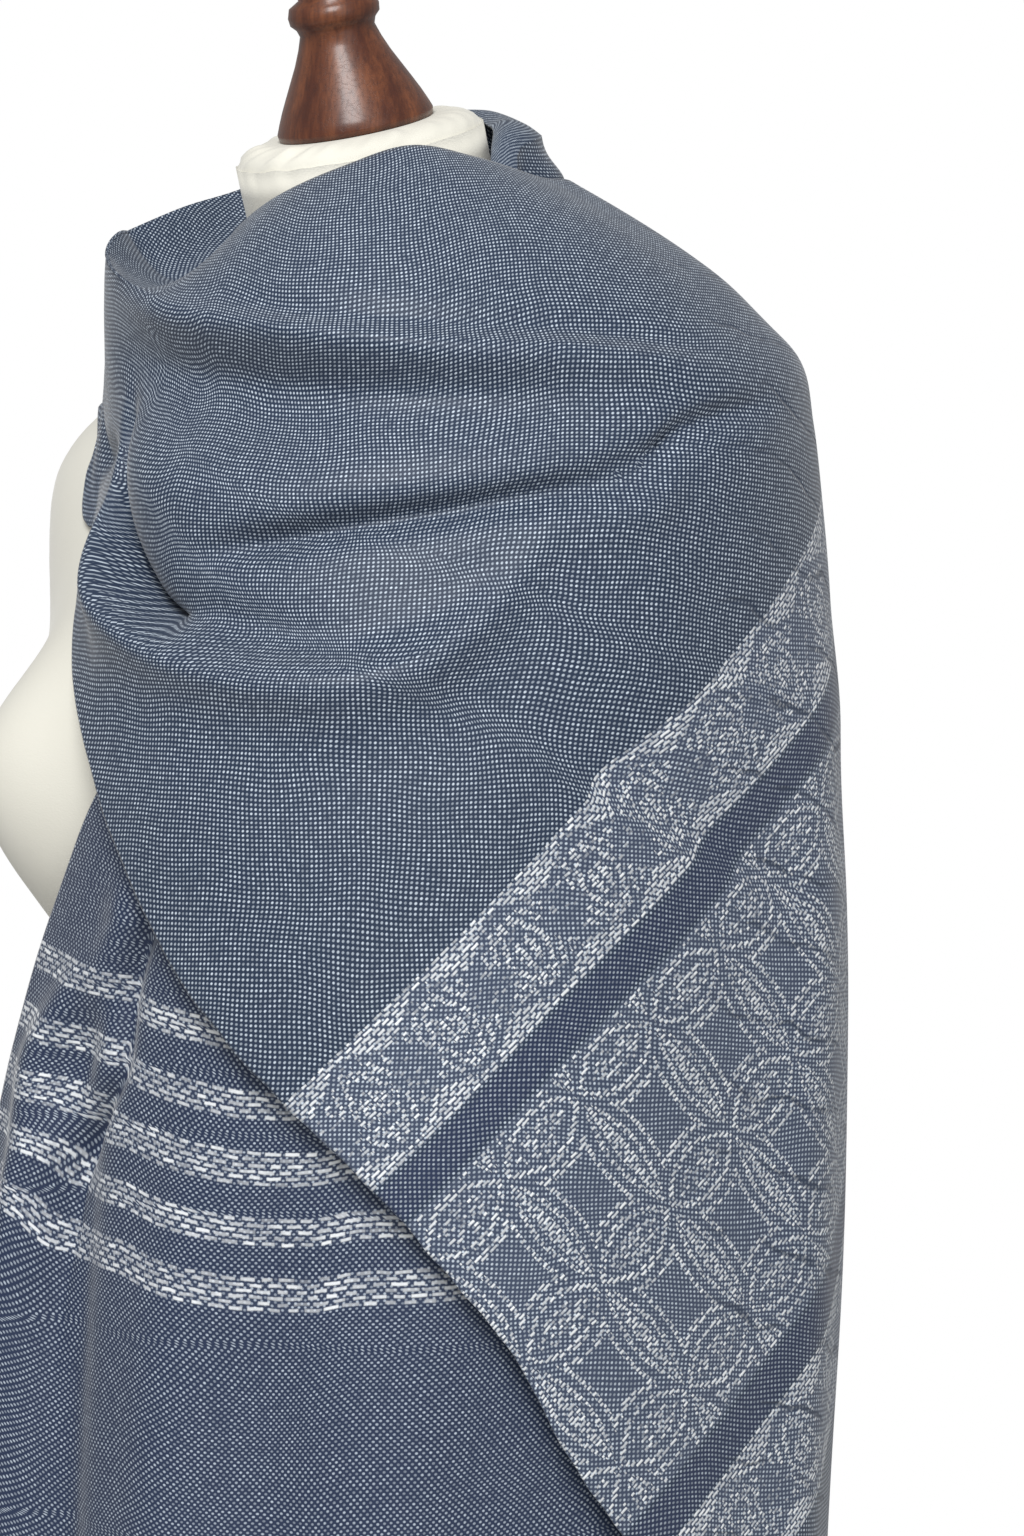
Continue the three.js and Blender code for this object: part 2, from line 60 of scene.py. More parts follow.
# The collar's roll leans out at the left back: how far, middle and reach round, and by height.
ROLL_LEAN = (10, 136, 18, 921, 11)
NECK_TUCK = (7, 138, 26)  # its neck edge is tucked in there: how far, middle and reach round
NECK_LEAN = 16  # degrees
NECK_AXIS_HEIGHT = 927
NECK_BOTTOM = 885.3
NECK_TOP = 944
NECK_TOP_RADIUS = 40
BUST_AZIMUTH = 29
BUST_HEIGHT = 655
BUST_OUT = 54
BUST_WIDE = 21
BUST_ABOVE = 62
BUST_BELOW = 72
POLE_RADIUS = 14
BASE_RADIUS = 150
BASE_THICK = 26
BASE_COLLAR_RADIUS = 24
BASE_COLLAR_HEIGHT = 14
FIT = 0.3  # gap between hard pieces that touch


# ------------------------------------------------------------------ smooth tables


def table(names, *rows):
    """Columns of numbers by name."""
    return {name: np.array(column, float) for name, column in zip(names.split(), zip(*rows))}


def along(rows, key, column, x):
    """Smooth value of one column of a table whose rows are sorted by their key."""
    keys, values = rows[key], rows[column]
    x = np.clip(np.asarray(x, float), keys[0], keys[-1])
    slopes = np.empty_like(values)
    slopes[1:-1] = (values[2:] - values[:-2]) / (keys[2:] - keys[:-2])
    slopes[0] = (values[1] - values[0]) / (keys[1] - keys[0])
    slopes[-1] = (values[-1] - values[-2]) / (keys[-1] - keys[-2])
    i = np.clip(np.searchsorted(keys, x, side="right") - 1, 0, len(keys) - 2)
    step = keys[i + 1] - keys[i]
    t = (x - keys[i]) / step
    return (
        (2 * t**3 - 3 * t**2 + 1) * values[i]
        + (t**3 - 2 * t**2 + t) * slopes[i] * step
        + (3 * t**2 - 2 * t**3) * values[i + 1]
        + (t**3 - t**2) * slopes[i + 1] * step
    )


def around_eight(values, azimuth):
    """Smooth closed curve through eight radii, one every 45 degrees of azimuth."""
    x = (azimuth / 45) % 8
    i = np.floor(x).astype(int) % 8
    t = x - np.floor(x)
    a, b, c, d = (np.choose((i + k) % 8, values) for k in (7, 0, 1, 2))
    return b + 0.5 * t * (c - a + t * (2 * a - 5 * b + 4 * c - d + t * (3 * (b - c) + d - a)))


def smooth_step(low, high, x):
    t = np.clip((x - low) / (high - low), 0, 1)
    return t * t * (3 - 2 * t)


def window(fade, x):
    """1 between the middle two of four places, eased to 0 at the outer two."""
    return smooth_step(fade[0], fade[1], x) * (1 - smooth_step(fade[2], fade[3], x))


def mix(a, b, t):
    return a + (b - a) * t


def bell(x):
    return np.exp(-x * x)


def place(azimuth, radius, z):
    turn = np.radians(azimuth)
    return np.stack([radius * np.sin(turn), -radius * np.cos(turn), z + 0 * radius], axis=-1)


# ------------------------------------------------------------------ the form

TORSO = table(
    "z side front back",
    (215, 160, 108, 116),
    (262, 168, 113, 122),
    (330, 165, 112, 118),
    (400, 145, 104, 100),
    (465, 122, 96, 86),
    (530, 128, 106, 88),
    (600, 148, 120, 98),
    (655, 156, 116, 106),
    (710, 168, 108, 112),
    (755, 179, 98, 110),
    (785, 182, 86, 102),
    (806, 170, 74, 92),
    (828, 136, 64, 84),
    (850, 98, 55, 78),
    (870, 72, 50, 73),
    (885, 60, 47, 70),
)
TORSO_SQUARENESS = 2.3


def form_radius(azimuth, z):
    turn = np.radians(azimuth)
    side = along(TORSO, "z", "side", z)
    forward = np.cos(turn)
    depth = np.where(forward > 0, along(TORSO, "z", "front", z), along(TORSO, "z", "back", z))
    wide = np.abs(np.sin(turn) / side) ** TORSO_SQUARENESS
    deep = np.abs(forward / depth) ** TORSO_SQUARENESS
    oval = (wide + deep) ** (-1 / TORSO_SQUARENESS)
    turned = (azimuth + 180) % 360 - 180
    tall = np.where(z > BUST_HEIGHT, BUST_ABOVE, BUST_BELOW)
    swell = bell((np.abs(turned) - BUST_AZIMUTH) / BUST_WIDE) * bell((z - BUST_HEIGHT) / tall)
    return oval + BUST_OUT * swell


def lying_radius(azimuth, z):
    """Radius of cloth that lies on the form, square to it."""
    slope = (form_radius(azimuth, z - 2) - form_radius(azimuth, z + 2)) / 4
    return form_radius(azimuth, z) + (CLOTH + REST) * np.hypot(1, slope)


# ------------------------------------------------------------------ the drape

# Radii of the outer cloth from the hems up, one column for each 45 degrees of azimuth.
COLUMNS = "front frontLeft left backLeft back backRight right frontRight"
WALL = table(
    "z " + COLUMNS,
    (190, 204, 200, 196, 212, 166, 160, 170, 210),
    (300, 200, 200, 198, 216, 168, 160, 172, 208),
    (400, 194, 199, 200, 221, 166, 158, 172, 203),
    (500, 186, 200, 202, 223, 160, 156, 172, 193),
    (590, 180, 204, 204, 222, 154, 156, 174, 174),
    (650, 176, 202, 204, 219, 148, 155, 176, 158),
    (710, 164, 188, 204, 216, 142, 152, 178, 142),
    (770, 142, 166, 201, 211, 134, 146, 168, 125),
    (810, 130, 154, 194, 207, 128, 140, 150, 120),
    (840, 123, 149, 178, 201, 120, 132, 138, 120),
    (865, 116, 138, 150, 176, 112, 122, 126, 120),
    (890, 104, 118, 120, 144, 104, 112, 118, 119),
    (920, 86, 92, 94, 98, 92, 96, 98, 112),
)

# The way out from the neck edge, over a dip, to the brim from which the cloth hangs.
BRIM_COLUMNS = "azimuth edgeRadius edge dipRadius dip brimRadius brim"
WRAP_BRIM = table(
    BRIM_COLUMNS,
    (-60, 66, 890, 90, 882, 115, 899),
    (-45, 66, 889, 91, 878, 118, 891),
    (-30, 67, 890, 93, 876, 118, 879),
    (-12, 69, 898, 93, 882, 118, 867),
    (12, 71, 911, 100, 888, 125, 856),
    (35, 72, 922, 112, 890, 144, 847),
    (60, 73, 932, 118, 894, 156, 843),
    (85, 76, 928, 126, 892, 170, 842),
    (110, 86, 921, 140, 888, 189, 844),
    (132, 98, 918, 152, 885, 198, 846),
    (148, 118, 890, 150, 866, 184, 836),
    (165, 138, 852, 150, 836, 160, 816),
    (185, 132, 806, 140, 790, 146, 772),
    (205, 140, 762, 145, 748, 150, 734),
    (225, 148, 718, 150, 706, 152, 694),
    (250, 160, 664, 162, 660, 164, 656),
)
COLLAR_BRIM = table(
    BRIM_COLUMNS,
    (40, 84, 895, 92, 885, 100, 874),
    (70, 84, 903, 94, 892, 106, 880),
    (95, 71, 916, 80, 911, 89, 901),
    (110, 65, 934, 70, 936, 76, 931),
    (125, 65, 944, 72, 947, 80, 940),
    (142, 64, 948, 72, 951, 82, 944),
    (165, 62, 952, 66, 957, 72, 954),
    (195, 60, 952, 65, 957, 72, 954),
    (225, 60, 942, 68, 946, 79, 947),
    (250, 62, 920, 73, 920, 88, 933),
    (265, 64, 906, 77, 904, 93, 922),
    (285, 65, 896, 82, 892, 99, 912),
    (300, 66, 891, 90, 883, 114, 900),
)

# Lower edges: the wrap's selvedge down to its corner and then its hem up round the back.
WRAP_LOWER = table(
    "azimuth z",
    (-40, 762), (-30, 744), (-18, 728), (-8, 692), (-1, 665), (4, 642), (11, 609), (19, 572),
    (30, 532), (39, 503), (47, 475), (55, 442), (62, 412), (70, 364), (78, 328), (88, 284),
    (98, 244), (107, 214), (120, 254), (135, 308), (165, 404), (195, 486), (225, 568), (250, 642),
)
COLLAR_LOWER = table(
    "azimuth z",
    (40, JOIN_HEIGHT), (70, JOIN_HEIGHT), (100, JOIN_HEIGHT), (125, 742), (150, 704), (180, 676),
    (205, 680), (228, 718), (248, 774), (262, 808), (275, 819), (290, 817), (302, 800), (312, 774),
    (320, 762),
)
END_EDGES = table(
    "z right left",
    (200, -30, 94), (300, -29, 95), (400, -28, 96), (486, -26, 97), (550, -22, 98), (582, -18, 99),
    (620, -10, 100), (640, -5, 100), (690, 10, 100), (730, 26, 100), (JOIN_HEIGHT, 40, 100),
)


def line(*points):
    return table("azimuth z", *points)


# Folds across the wrap: outward depth, widths above and below, four azimuths of fading, its line.
SWAG_FOLDS = (
    (-8, 16, 30, (-40, 10, 60, 105), line((-40, 842), (20, 824), (48, 816), (100, 818))),
    (9, 24, 22, (-20, 5, 40, 85), line((-20, 805), (20, 778), (60, 796))),
    (-7, 8, 14, (8, 32, 84, 114), line((10, 748), (38, 761), (64, 774), (85, 792), (111, 819))),
    (-6, 9, 7, (-60, -48, -32, -16), line((-50, 792), (-20, 796))),
    (-20, 15, 8, (-22, -8, 12, 52),
     line((-20, 812), (-15, 796), (-8, 771), (-3, 756), (2, 744), (8, 732), (14, 722), (23, 713),
          (33, 709), (45, 711), (58, 730))),
    (15, 9, 28, (-20, 0, 32, 76),
     line((-17, 780), (-6, 753), (1, 735), (12, 723), (20, 716), (34, 705), (45, 704), (55, 718),
          (70, 762))),
)

# Upright folds: azimuth at the top and foot, depth, width in degrees, heights it grows between.
UPRIGHT_FOLDS = (
    (118, 112, 6, 7, 800, 560),
    (150, 146, -12, 8, 850, 620),
    (166, 164, 13, 7, 820, 600),
    (184, 183, -9, 7, 780, 600),
    (201, 201, 10, 7, 740, 600),
)
END_FOLDS = (
    (0, -14, 10, 5, 600, 520),
    (9, -4, -9, 5, 600, 520),
    (22, 14, 6, 7, 560, 380),
    (36, 30, -7, 7, 520, 380),
    (52, 48, 5, 7, 480, 340),
)
COLLAR_FOLDS = (
    (172, 160, 9, 11, 950, 880),
    (250, 238, 8, 10, 910, 850),
    (212, 204, -7, 10, 930, 850),
)


# The line of the deep pocket at the left of the folds, and the lip of cloth that hangs over it:
# how far the lip drops and stands out, its place above the line and its width.
POCKET = line(
    (-20, 812), (-15, 796), (-8, 771), (-3, 756), (2, 744), (8, 732), (14, 722), (23, 711)
)
POCKET_LIP = (13, 3, 12, 8)
POCKET_FADE = (-18, -6, 6, 22)

# Sharper creases of the shown cloth, as in SWAG_FOLDS.
CREASES = (
    (-4.5, 6, 4, (12, 30, 84, 104),
     line((6, 863), (24, 858), (38, 854), (58, 849), (76, 848), (100, 841))),
    (5, 7, 10, (-30, 0, 84, 108),
     line((-30, 868), (6, 855), (24, 850), (38, 846), (58, 841), (76, 840), (100, 833))),
    (-5, 12, 18, (-34, 0, 70, 100), line((-30, 838), (20, 822), (60, 816), (100, 812))),
    (-5, 5, 4, (10, 36, 96, 116),
     line((10, 748), (16, 750), (28, 755), (38, 761), (48, 766), (57, 770), (64, 774), (82, 783),
          (91, 805), (111, 819))),
    (4, 5, 13, (10, 36, 92, 114),
     line((10, 739), (28, 746), (38, 752), (48, 757), (57, 761), (64, 765), (82, 774), (91, 796),
          (111, 810))),
    (-44, 9, 8, (-18, -6, 4, 18), POCKET),
    (7, 5, 16, (-16, -2, 46, 72),
     line((-18, 780), (-6, 753), (1, 734), (12, 721), (20, 714), (25, 709), (34, 703), (43, 702),
          (52, 711), (60, 730), (70, 762))),
)


def wall_radius(azimuth, z):
    azimuth, z = np.broadcast_arrays(np.asarray(azimuth, float), np.asarray(z, float))
    return around_eight([along(WALL, "z", column, z) for column in COLUMNS.split()], azimuth)


def swag_depth(folds, azimuth, z):
    total = 0
    for depth, above, below, fade, course in folds:
        off = z - along(course, "azimuth", "z", azimuth)
        total = total + depth * window(fade, azimuth) * bell(off / np.where(off > 0, above, below))
    return total


def upright_depth(folds, azimuth, z):
    total = 0
    for top, foot, depth, width, start, full in folds:
        grown = 1 - smooth_step(full, start, z)
        total = total + depth * grown * bell((azimuth - mix(top, foot, grown)) / width)
    return total


def yoke(brims, azimuth, t):
    """Radius and height from the neck edge (0) over the dip to the brim (1)."""
    weights = ((1 - t) * (1 - 2 * t), 4 * t * (1 - t), t * (2 * t - 1))

    def blend(columns):
        values = [along(brims, "azimuth", column, azimuth) for column in columns.split()]
        return sum(weight * value for weight, value in zip(weights, values))

    return blend("edgeRadius dipRadius brimRadius"), blend("edge dip brim")


def hanging_radius(base, brim_radius, brim_z, azimuth, z):
    fall = np.exp(np.minimum(z - brim_z, 0) / BRIM_SOFTNESS)
    return base(azimuth, z) + (brim_radius - base(azimuth, brim_z)) * fall


def wrap_point(azimuth, down):
    """Radius and height of the wrap. down is 0 at the neck edge, 1 at the brim, 2 at the foot."""
    on_wall = smooth_step(*ONTO_WALL, azimuth)
    brim_radius, brim_z = yoke(WRAP_BRIM, azimuth, 1)
    radius, z = yoke(WRAP_BRIM, azimuth, np.minimum(down, 1))
    hung_z = mix(brim_z, along(WRAP_LOWER, "azimuth", "z", azimuth), np.maximum(down - 1, 0))
    hung = hanging_radius(wall_radius, brim_radius, brim_z, azimuth, hung_z)
    below = down > 1
    radius, z = np.where(below, hung, radius), np.where(below, hung_z, z)
    radius = mix(radius, wall_radius(azimuth, z), on_wall)
    radius = radius + swag_depth(SWAG_FOLDS, azimuth, z) + upright_depth(UPRIGHT_FOLDS, azimuth, z)
    return np.maximum(radius, lying_radius(azimuth, z)), z


def outer_radius(azimuth, z):
    """Radius of the plain wrap at a height, without its folds."""
    brim_radius, brim_z = yoke(WRAP_BRIM, azimuth, 1)
    hung = hanging_radius(wall_radius, brim_radius, brim_z, azimuth, np.minimum(z, brim_z))
    high, low = np.zeros_like(z), np.ones_like(z)
    for _ in range(24):
        middle = (high + low) / 2
        above = yoke(WRAP_BRIM, azimuth, middle)[1] > z
        high, low = np.where(above, middle, high), np.where(above, low, middle)
    radius = np.where(z > brim_z, yoke(WRAP_BRIM, azimuth, low)[0], hung)
    return mix(radius, wall_radius(azimuth, z), smooth_step(*ONTO_WALL, azimuth))


def under_radius(azimuth, z):
    """Radius of the layer that lies under the wrap."""
    azimuth, z = np.broadcast_arrays(np.asarray(azimuth, float), np.asarray(z, float))
    uncovered = smooth_step(*UNCOVERED, azimuth)
    chest = CHEST_IN * smooth_step(*CHEST_HEIGHTS, z) * (1 - smooth_step(*CHEST_AZIMUTHS, azimuth))
    radius = outer_radius(azimuth, z) - (LAYER + chest) * (1 - uncovered)
    return np.maximum(radius, lying_radius(azimuth, z))


def collar_point(azimuth, down):
    """Radius and height of the stretch behind the neck, with down as in the wrap."""
    brim_radius, brim_z = yoke(COLLAR_BRIM, azimuth, 1)
    radius, z = yoke(COLLAR_BRIM, azimuth, np.minimum(down, 1))
    hung_z = mix(brim_z, along(COLLAR_LOWER, "azimuth", "z", azimuth), np.maximum(down - 1, 0))
    hung = hanging_radius(under_radius, brim_radius, brim_z, azimuth, hung_z)
    below = down > 1
    radius, z = np.where(below, hung, radius), np.where(below, hung_z, z)
    radius = radius + upright_depth(COLLAR_FOLDS, azimuth, z) * smooth_step(0, 0.8, down)
    wrapped_radius, wrapped_z = wrap_point(azimuth - 360, down)
    lean, middle, reach, height, tall = ROLL_LEAN
    leaning = bell((z - height) / tall) * bell((azimuth - middle) / reach)
    tuck, middle, reach = NECK_TUCK
    tucked = bell((azimuth - middle) / reach) * (1 - np.minimum(down, 1))
    radius = radius + lean * leaning - tuck * tucked
    seam = smooth_step(*SEAM_SPAN, azimuth)
    z = mix(z, wrapped_z, seam)
    radius = mix(radius, wrapped_radius, seam)
    return np.where(z < NECK_BOTTOM, np.maximum(radius, lying_radius(azimuth, z)), radius), z


def end_point(across, down):
    """Azimuth, radius and height of the hanging end."""
    z = mix(JOIN_HEIGHT - JOIN_GAP, END_BOTTOM, down)
    azimuth = mix(along(END_EDGES, "z", "right", z), along(END_EDGES, "z", "left", z), across)
    radius = under_radius(azimuth, z) + upright_depth(END_FOLDS, azimuth, z)
    return azimuth, np.maximum(radius, lying_radius(azimuth, z)), z


# ------------------------------------------------------------------ meshes


def new_object(name, vertices, faces, uv=None, smooth=True):
    """An object from points in millimetres and a list of faces. uv is each point's flat place."""
    mesh = bpy.data.meshes.new(name)
    mesh.from_pydata((vertices * MM).tolist(), [], faces)
    if uv is not None:
        corner = np.empty(len(mesh.loops), np.int32)
        mesh.loops.foreach_get("vertex_index", corner)
        layer = mesh.uv_layers.new(name="cloth")
        layer.data.foreach_set("uv", np.asarray(uv, np.float32)[corner].ravel())
    if smooth:
        mesh.polygons.foreach_set("use_smooth", np.ones(len(mesh.polygons), bool))
    mesh.update()
    piece = bpy.data.objects.new(name, mesh)
    bpy.context.collection.objects.link(piece)
    return piece


def grid_normals(points):
    """Outward normals of a grid of points [row, column], rows running down the cloth."""
    down = np.gradient(points, axis=0)
    across = np.gradient(points, axis=1)
    normal = np.cross(down, across)
    return normal / np.linalg.norm(normal, axis=-1, keepdims=True)


def cloth_shell(name, outer, uv, thickness=SHELL):
    """A closed thin wall whose outer face is a grid of points [row, column]."""
    rows, columns = outer.shape[:2]
    inner = outer - grid_normals(outer) * thickness
    count = rows * columns
    index = np.arange(count).reshape(rows, columns)
    a, b, c, d = index[:-1, :-1], index[1:, :-1], index[1:, 1:], index[:-1, 1:]
    front = np.stack([a, b, c, d], axis=-1).reshape(-1, 4)
    back = np.stack([a, d, c, b], axis=-1).reshape(-1, 4) + count

    def rim(first, second):
        return np.stack([first, first + count, second + count, second], axis=-1)

    rims = (
        rim(index[0, 1:], index[0, :-1]),
        rim(index[-1, :-1], index[-1, 1:]),
        rim(index[:-1, 0], index[1:, 0]),
        rim(index[1:, -1], index[:-1, -1]),
    )
    faces = np.concatenate([front, back, *rims])
    vertices = np.concatenate([outer.reshape(-1, 3), inner.reshape(-1, 3)])
    flat = uv.reshape(-1, 2)
    return new_object(name, vertices, faces.tolist(), np.concatenate([flat, flat]))


def loft(name, rings):
    """A closed body through rings of points [ring, side], listed anticlockwise and upwards."""
    count, sides = rings.shape[:2]
    index = np.arange(count * sides).reshape(count, sides)
    following = np.roll(index, -1, axis=1)
    wall = np.stack([index[:-1], following[:-1], following[1:], index[1:]], axis=-1).reshape(-1, 4)
    faces = wall.tolist() + [index[0, ::-1].tolist(), index[-1].tolist()]
    return new_object(name, rings.reshape(-1, 3), faces)


# ------------------------------------------------------------------ the shawl

# Place on the flat cloth: u runs along the weft and v along the warp, which lie this far round
# from level and upright where the wrap hangs from the left shoulder.
GRAIN = math.radians(43.95)
GRAIN_AZIMUTH = 42  # where distance round the form is counted from
# How far the cloth's grain bends as it goes round the left arm: distance round and warp shift.
GRAIN_BEND = table(
    "round shift",
    (90, 0), (130, 5), (165, 11), (205, 17), (235, 21), (262, 26), (296, 31), (400, 34),
)

STRETCH_LIMIT = 1.8  # the most length down the cloth that counts for each mm of fall
EVENING = 9  # columns over which its excess over the fall is evened out
COUNTED = (660, 715)  # heights over which that excess comes to count


def flat_cloth(points, azimuth, brim_row):
    """u, v of each point of a grid: distance round and height, turned by GRAIN."""
    step = np.linalg.norm(np.diff(points[..., :2], axis=1), axis=-1)
    brim_step = np.broadcast_to(step[brim_row], step.shape)
    above = np.arange(points.shape[0])[:, None] < brim_row
    step = np.where(above, np.sqrt(step * brim_step), step)
    way = np.concatenate([np.zeros((len(points), 1)), np.cumsum(step, axis=1)], axis=1)
    start = np.argmin(np.abs(azimuth[brim_row] - GRAIN_AZIMUTH))
    way = way - way[:, start : start + 1]
    # Below the brim the length down the cloth counts up to a limit, and its excess over the fall in
    # height is evened out sideways, so that the weave doesn't swirl beside the deep folds.
    length = np.linalg.norm(np.diff(points, axis=0), axis=-1)
    fall = np.abs(points[:-1, :, 2] - points[1:, :, 2])
    hanging = np.arange(len(length))[:, None] >= brim_row
    length = np.where(hanging, np.minimum(length, STRETCH_LIMIT * fall), length)
    excess = (length - fall) * smooth_step(*COUNTED, points[:-1, :, 2])
    reach = 2 * EVENING
    weights = bell(np.arange(-reach, reach + 1) / EVENING)
    padded = np.pad(excess, ((0, 0), (reach, reach)), mode="edge")
    evened = sum(w * padded[:, i : i + excess.shape[1]] for i, w in enumerate(weights))
    drop = fall + evened / weights.sum()
    height = points[-1:, :, 2] + np.concatenate(
        [np.cumsum(drop[::-1], axis=0)[::-1], np.zeros((1, points.shape[1]))], axis=0
    )
    u = math.cos(GRAIN) * way + math.sin(GRAIN) * height
    bend = along(GRAIN_BEND, "round", "shift", way)
    v = math.sin(GRAIN) * way - math.cos(GRAIN) * height - bend
    return np.stack([u, v], axis=-1) * MM


def spaced(*spans):
    """Numbers from one place to the next, in as many steps as each span says."""
    places = [np.linspace(a, b, n, endpoint=False) for a, b, n in spans]
    return np.concatenate(places + [[spans[-1][1]]])


def wave(seed, *coordinates):
    """Smooth seeded unevenness about 1 high, from a few sine waves of nearby lengths."""
    rng = np.random.default_rng(seed)
    total = 0
    for _ in range(7):
        turn = rng.uniform(0, 2 * math.pi)
        heading = rng.uniform(0, 2 * math.pi)
        pace = rng.uniform(0.6, 1.5)
        x = coordinates[0] * math.cos(heading)
        if len(coordinates) > 1:
            x = x + coordinates[1] * math.sin(heading)
        total = total + np.sin(pace * x + turn)
    return total / 3


WOUND_COLUMNS = ((-320, -62, 70), (-62, 134, 186), (134, 250, 44))  # azimuths and steps
YOKE_ROWS = 32
WALL_ROWS = 131
WALL_CROWDING = 1.1  # above 1, rows lie closer below the brim than above the lower edge
UNEVEN = 0.8  # height of the cloth's soft unevenness
SHOULDER_IN = (4, 132, 40)  # how far the left shoulder is taken in, its middle and reach round
SHOULDER_HEIGHTS = (670, 730, 850, 880)
HEM_WAVER = (0.7, 1.7, 1.93)  # height and pace of the hem's waves, and where they start
# The cowl's hollow at the right shoulder: how far it drops, its middle and its reach round.
COWL_HOLLOWS = ((9, -42, 34), (-3, -40, 7), (2.5, -24, 6))


def make_wound_stretch():
    """The stretches round the neck and body: one cloth from the left shoulder to the back."""
    down_steps = np.concatenate([
        np.linspace(0, 1, YOKE_ROWS, endpoint=False),
        1 + np.linspace(0, 1, WALL_ROWS + 1) ** WALL_CROWDING,
    ])
    azimuth, down = np.meshgrid(spaced(*WOUND_COLUMNS), down_steps)
    # Each stretch is worked out everywhere, at a harmless azimuth where the other one counts.
    behind = azimuth < SEAM_AZIMUTH
    collar_radius, collar_z = collar_point(np.where(behind, azimuth + 360, 200.0), down)
    wrap_radius, wrap_z = wrap_point(np.where(behind, 0.0, azimuth), down)
    radius = np.where(behind, collar_radius, wrap_radius)
    z = np.where(behind, collar_z, wrap_z)
    uneven = wave(4, np.radians(azimuth) * 6, z / 34)
    radius = radius + UNEVEN * uneven * smooth_step(0, 0.5, down)
    creased = radius + swag_depth(CREASES, azimuth, z)
    inward, middle, reach = SHOULDER_IN
    shoulder = window(SHOULDER_HEIGHTS, z) * bell((azimuth - middle) / reach)
    creased = np.maximum(creased - inward * shoulder, lying_radius(azimuth, z))
    radius = np.where(behind, radius, creased)
    drop, out, place_above, width = POCKET_LIP
    above = z - along(POCKET, "azimuth", "z", azimuth) - place_above
    lip = window(POCKET_FADE, azimuth) * bell(above / width)
    radius = radius + out * lip
    z = z - drop * lip
    height, pace, start = HEM_WAVER
    z = z + height * wave(8, azimuth * pace) * smooth_step(start, 2, down)
    hollow = np.where(down < 1, 4 * down * (1 - down), 0)
    for depth, middle, reach in COWL_HOLLOWS:
        z = z - depth * hollow * bell((azimuth - middle) / reach)
    points = place(azimuth, radius, z)
    uv = flat_cloth(points, azimuth, YOKE_ROWS)
    piece = cloth_shell("wound_cloth", points, uv)
    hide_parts("scarf_wrap", "scarf_collar")
    return piece


# The end's weft sags between its folds, and a pleat takes some of its height up on one side.
SAG = table(
    "round drop",
    (-165, 0), (-116, -1), (-92, -6), (-66, -10), (-48, -12), (-20, -12), (3, -8), (45, -6),
    (110, 2),
)
PLEAT = table(
    "z round azimuth",
    (421, -167, -9), (450, -163, -8), (482, -151, -6), (525, -121, 4), (563, -115, 6),
    (591, -104, 10),
)
PLEAT_TILT = 0.14
PLEAT_TILT_FROM = -215  # distance round
PLEAT_LIFT = (27, 17)  # how far the weft is lifted beside the pleat, low down and high up
PLEAT_LIFT_HEIGHTS = (440, 540)
PLEAT_DROP = 13
PLEAT_DROP_FROM = -40  # distance from the pleat
PLEAT_REACH = (24, 1.8)  # distance over which the pleat takes effect, low down and high up
PLEAT_REACH_HEIGHTS = (470, 515)
PLEAT_HEIGHTS = (340, 440, 590, 620)
# The pleat's ridge and the valley beside it: depth, place from its line and width in degrees.
PLEAT_FOLDS = ((5, -5, 4), (-7, 0.4, 2.2))
END_COLUMNS = ((0, 0.42, 110), (0.42, 1, 79))  # shares of the width and steps
END_ROWS = 240


def end_sag(way, z):
    """How far the weft lies above its level at a distance round from GRAIN_AZIMUTH."""
    from_pleat = way - along(PLEAT, "z", "round", z)
    high = smooth_step(*PLEAT_LIFT_HEIGHTS, z)
    beside = mix(*PLEAT_LIFT, high) - PLEAT_TILT * (way - PLEAT_TILT_FROM)
    beside = beside - PLEAT_DROP * smooth_step(PLEAT_DROP_FROM, 0, from_pleat) * (1 - high)
    reach = mix(*PLEAT_REACH, smooth_step(*PLEAT_REACH_HEIGHTS, z))
    return mix(beside, along(SAG, "round", "drop", way), smooth_step(-1, 1, from_pleat / reach))


def pleat_depth(azimuth, z):
    """The end's sharp pleat: a ridge on its right side and a narrow valley beside it."""
    off = azimuth - along(PLEAT, "z", "azimuth", z)
    folds = sum(depth * bell((off - beside) / width) for depth, beside, width in PLEAT_FOLDS)
    return window(PLEAT_HEIGHTS, z) * folds


def make_hanging_end():
    across, down = np.meshgrid(spaced(*END_COLUMNS), np.linspace(0, 1, END_ROWS))
    azimuth, radius, z = end_point(across, down)
    uneven = wave(12, np.radians(azimuth) * 7, z / 60)
    radius = radius + pleat_depth(azimuth, z) + UNEVEN * uneven
    radius = np.maximum(radius, lying_radius(azimuth, z))
    points = place(azimuth, radius, z)
    step = np.linalg.norm(np.diff(points[..., :2], axis=1), axis=-1)
    way = np.concatenate([np.zeros((len(points), 1)), np.cumsum(step, axis=1)], axis=1)
    start = np.argmin(np.abs(azimuth - GRAIN_AZIMUTH), axis=1)
    way = way - np.take_along_axis(way, start[:, None], axis=1)
    uv = np.stack([way, z - end_sag(way, z)], axis=-1) * MM
    piece = cloth_shell("hanging_end", points, uv)
    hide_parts("scarf_end")
    return piece


# ------------------------------------------------------------------ form and stand


def neck_frame(t):
    """Height and tilt of the leaning neck: 0 at its foot, 1 at the rim of its cap."""
    lean = math.radians(NECK_LEAN)
    z = mix(NECK_BOTTOM, NECK_TOP, t)
    centre = Vector((0, (NECK_AXIS_HEIGHT - z) * math.tan(lean), z))
    tilt = lean * float(smooth_step(0, 0.7, t))
    return Matrix.Translation(centre) @ Matrix.Rotation(tilt, 4, "X")


def moved(points, matrix):
    turn = np.array(matrix)
    return points @ turn[:3, :3].T + turn[:3, 3]


def azimuths(sides):
    return np.arange(sides) * 360 / sides


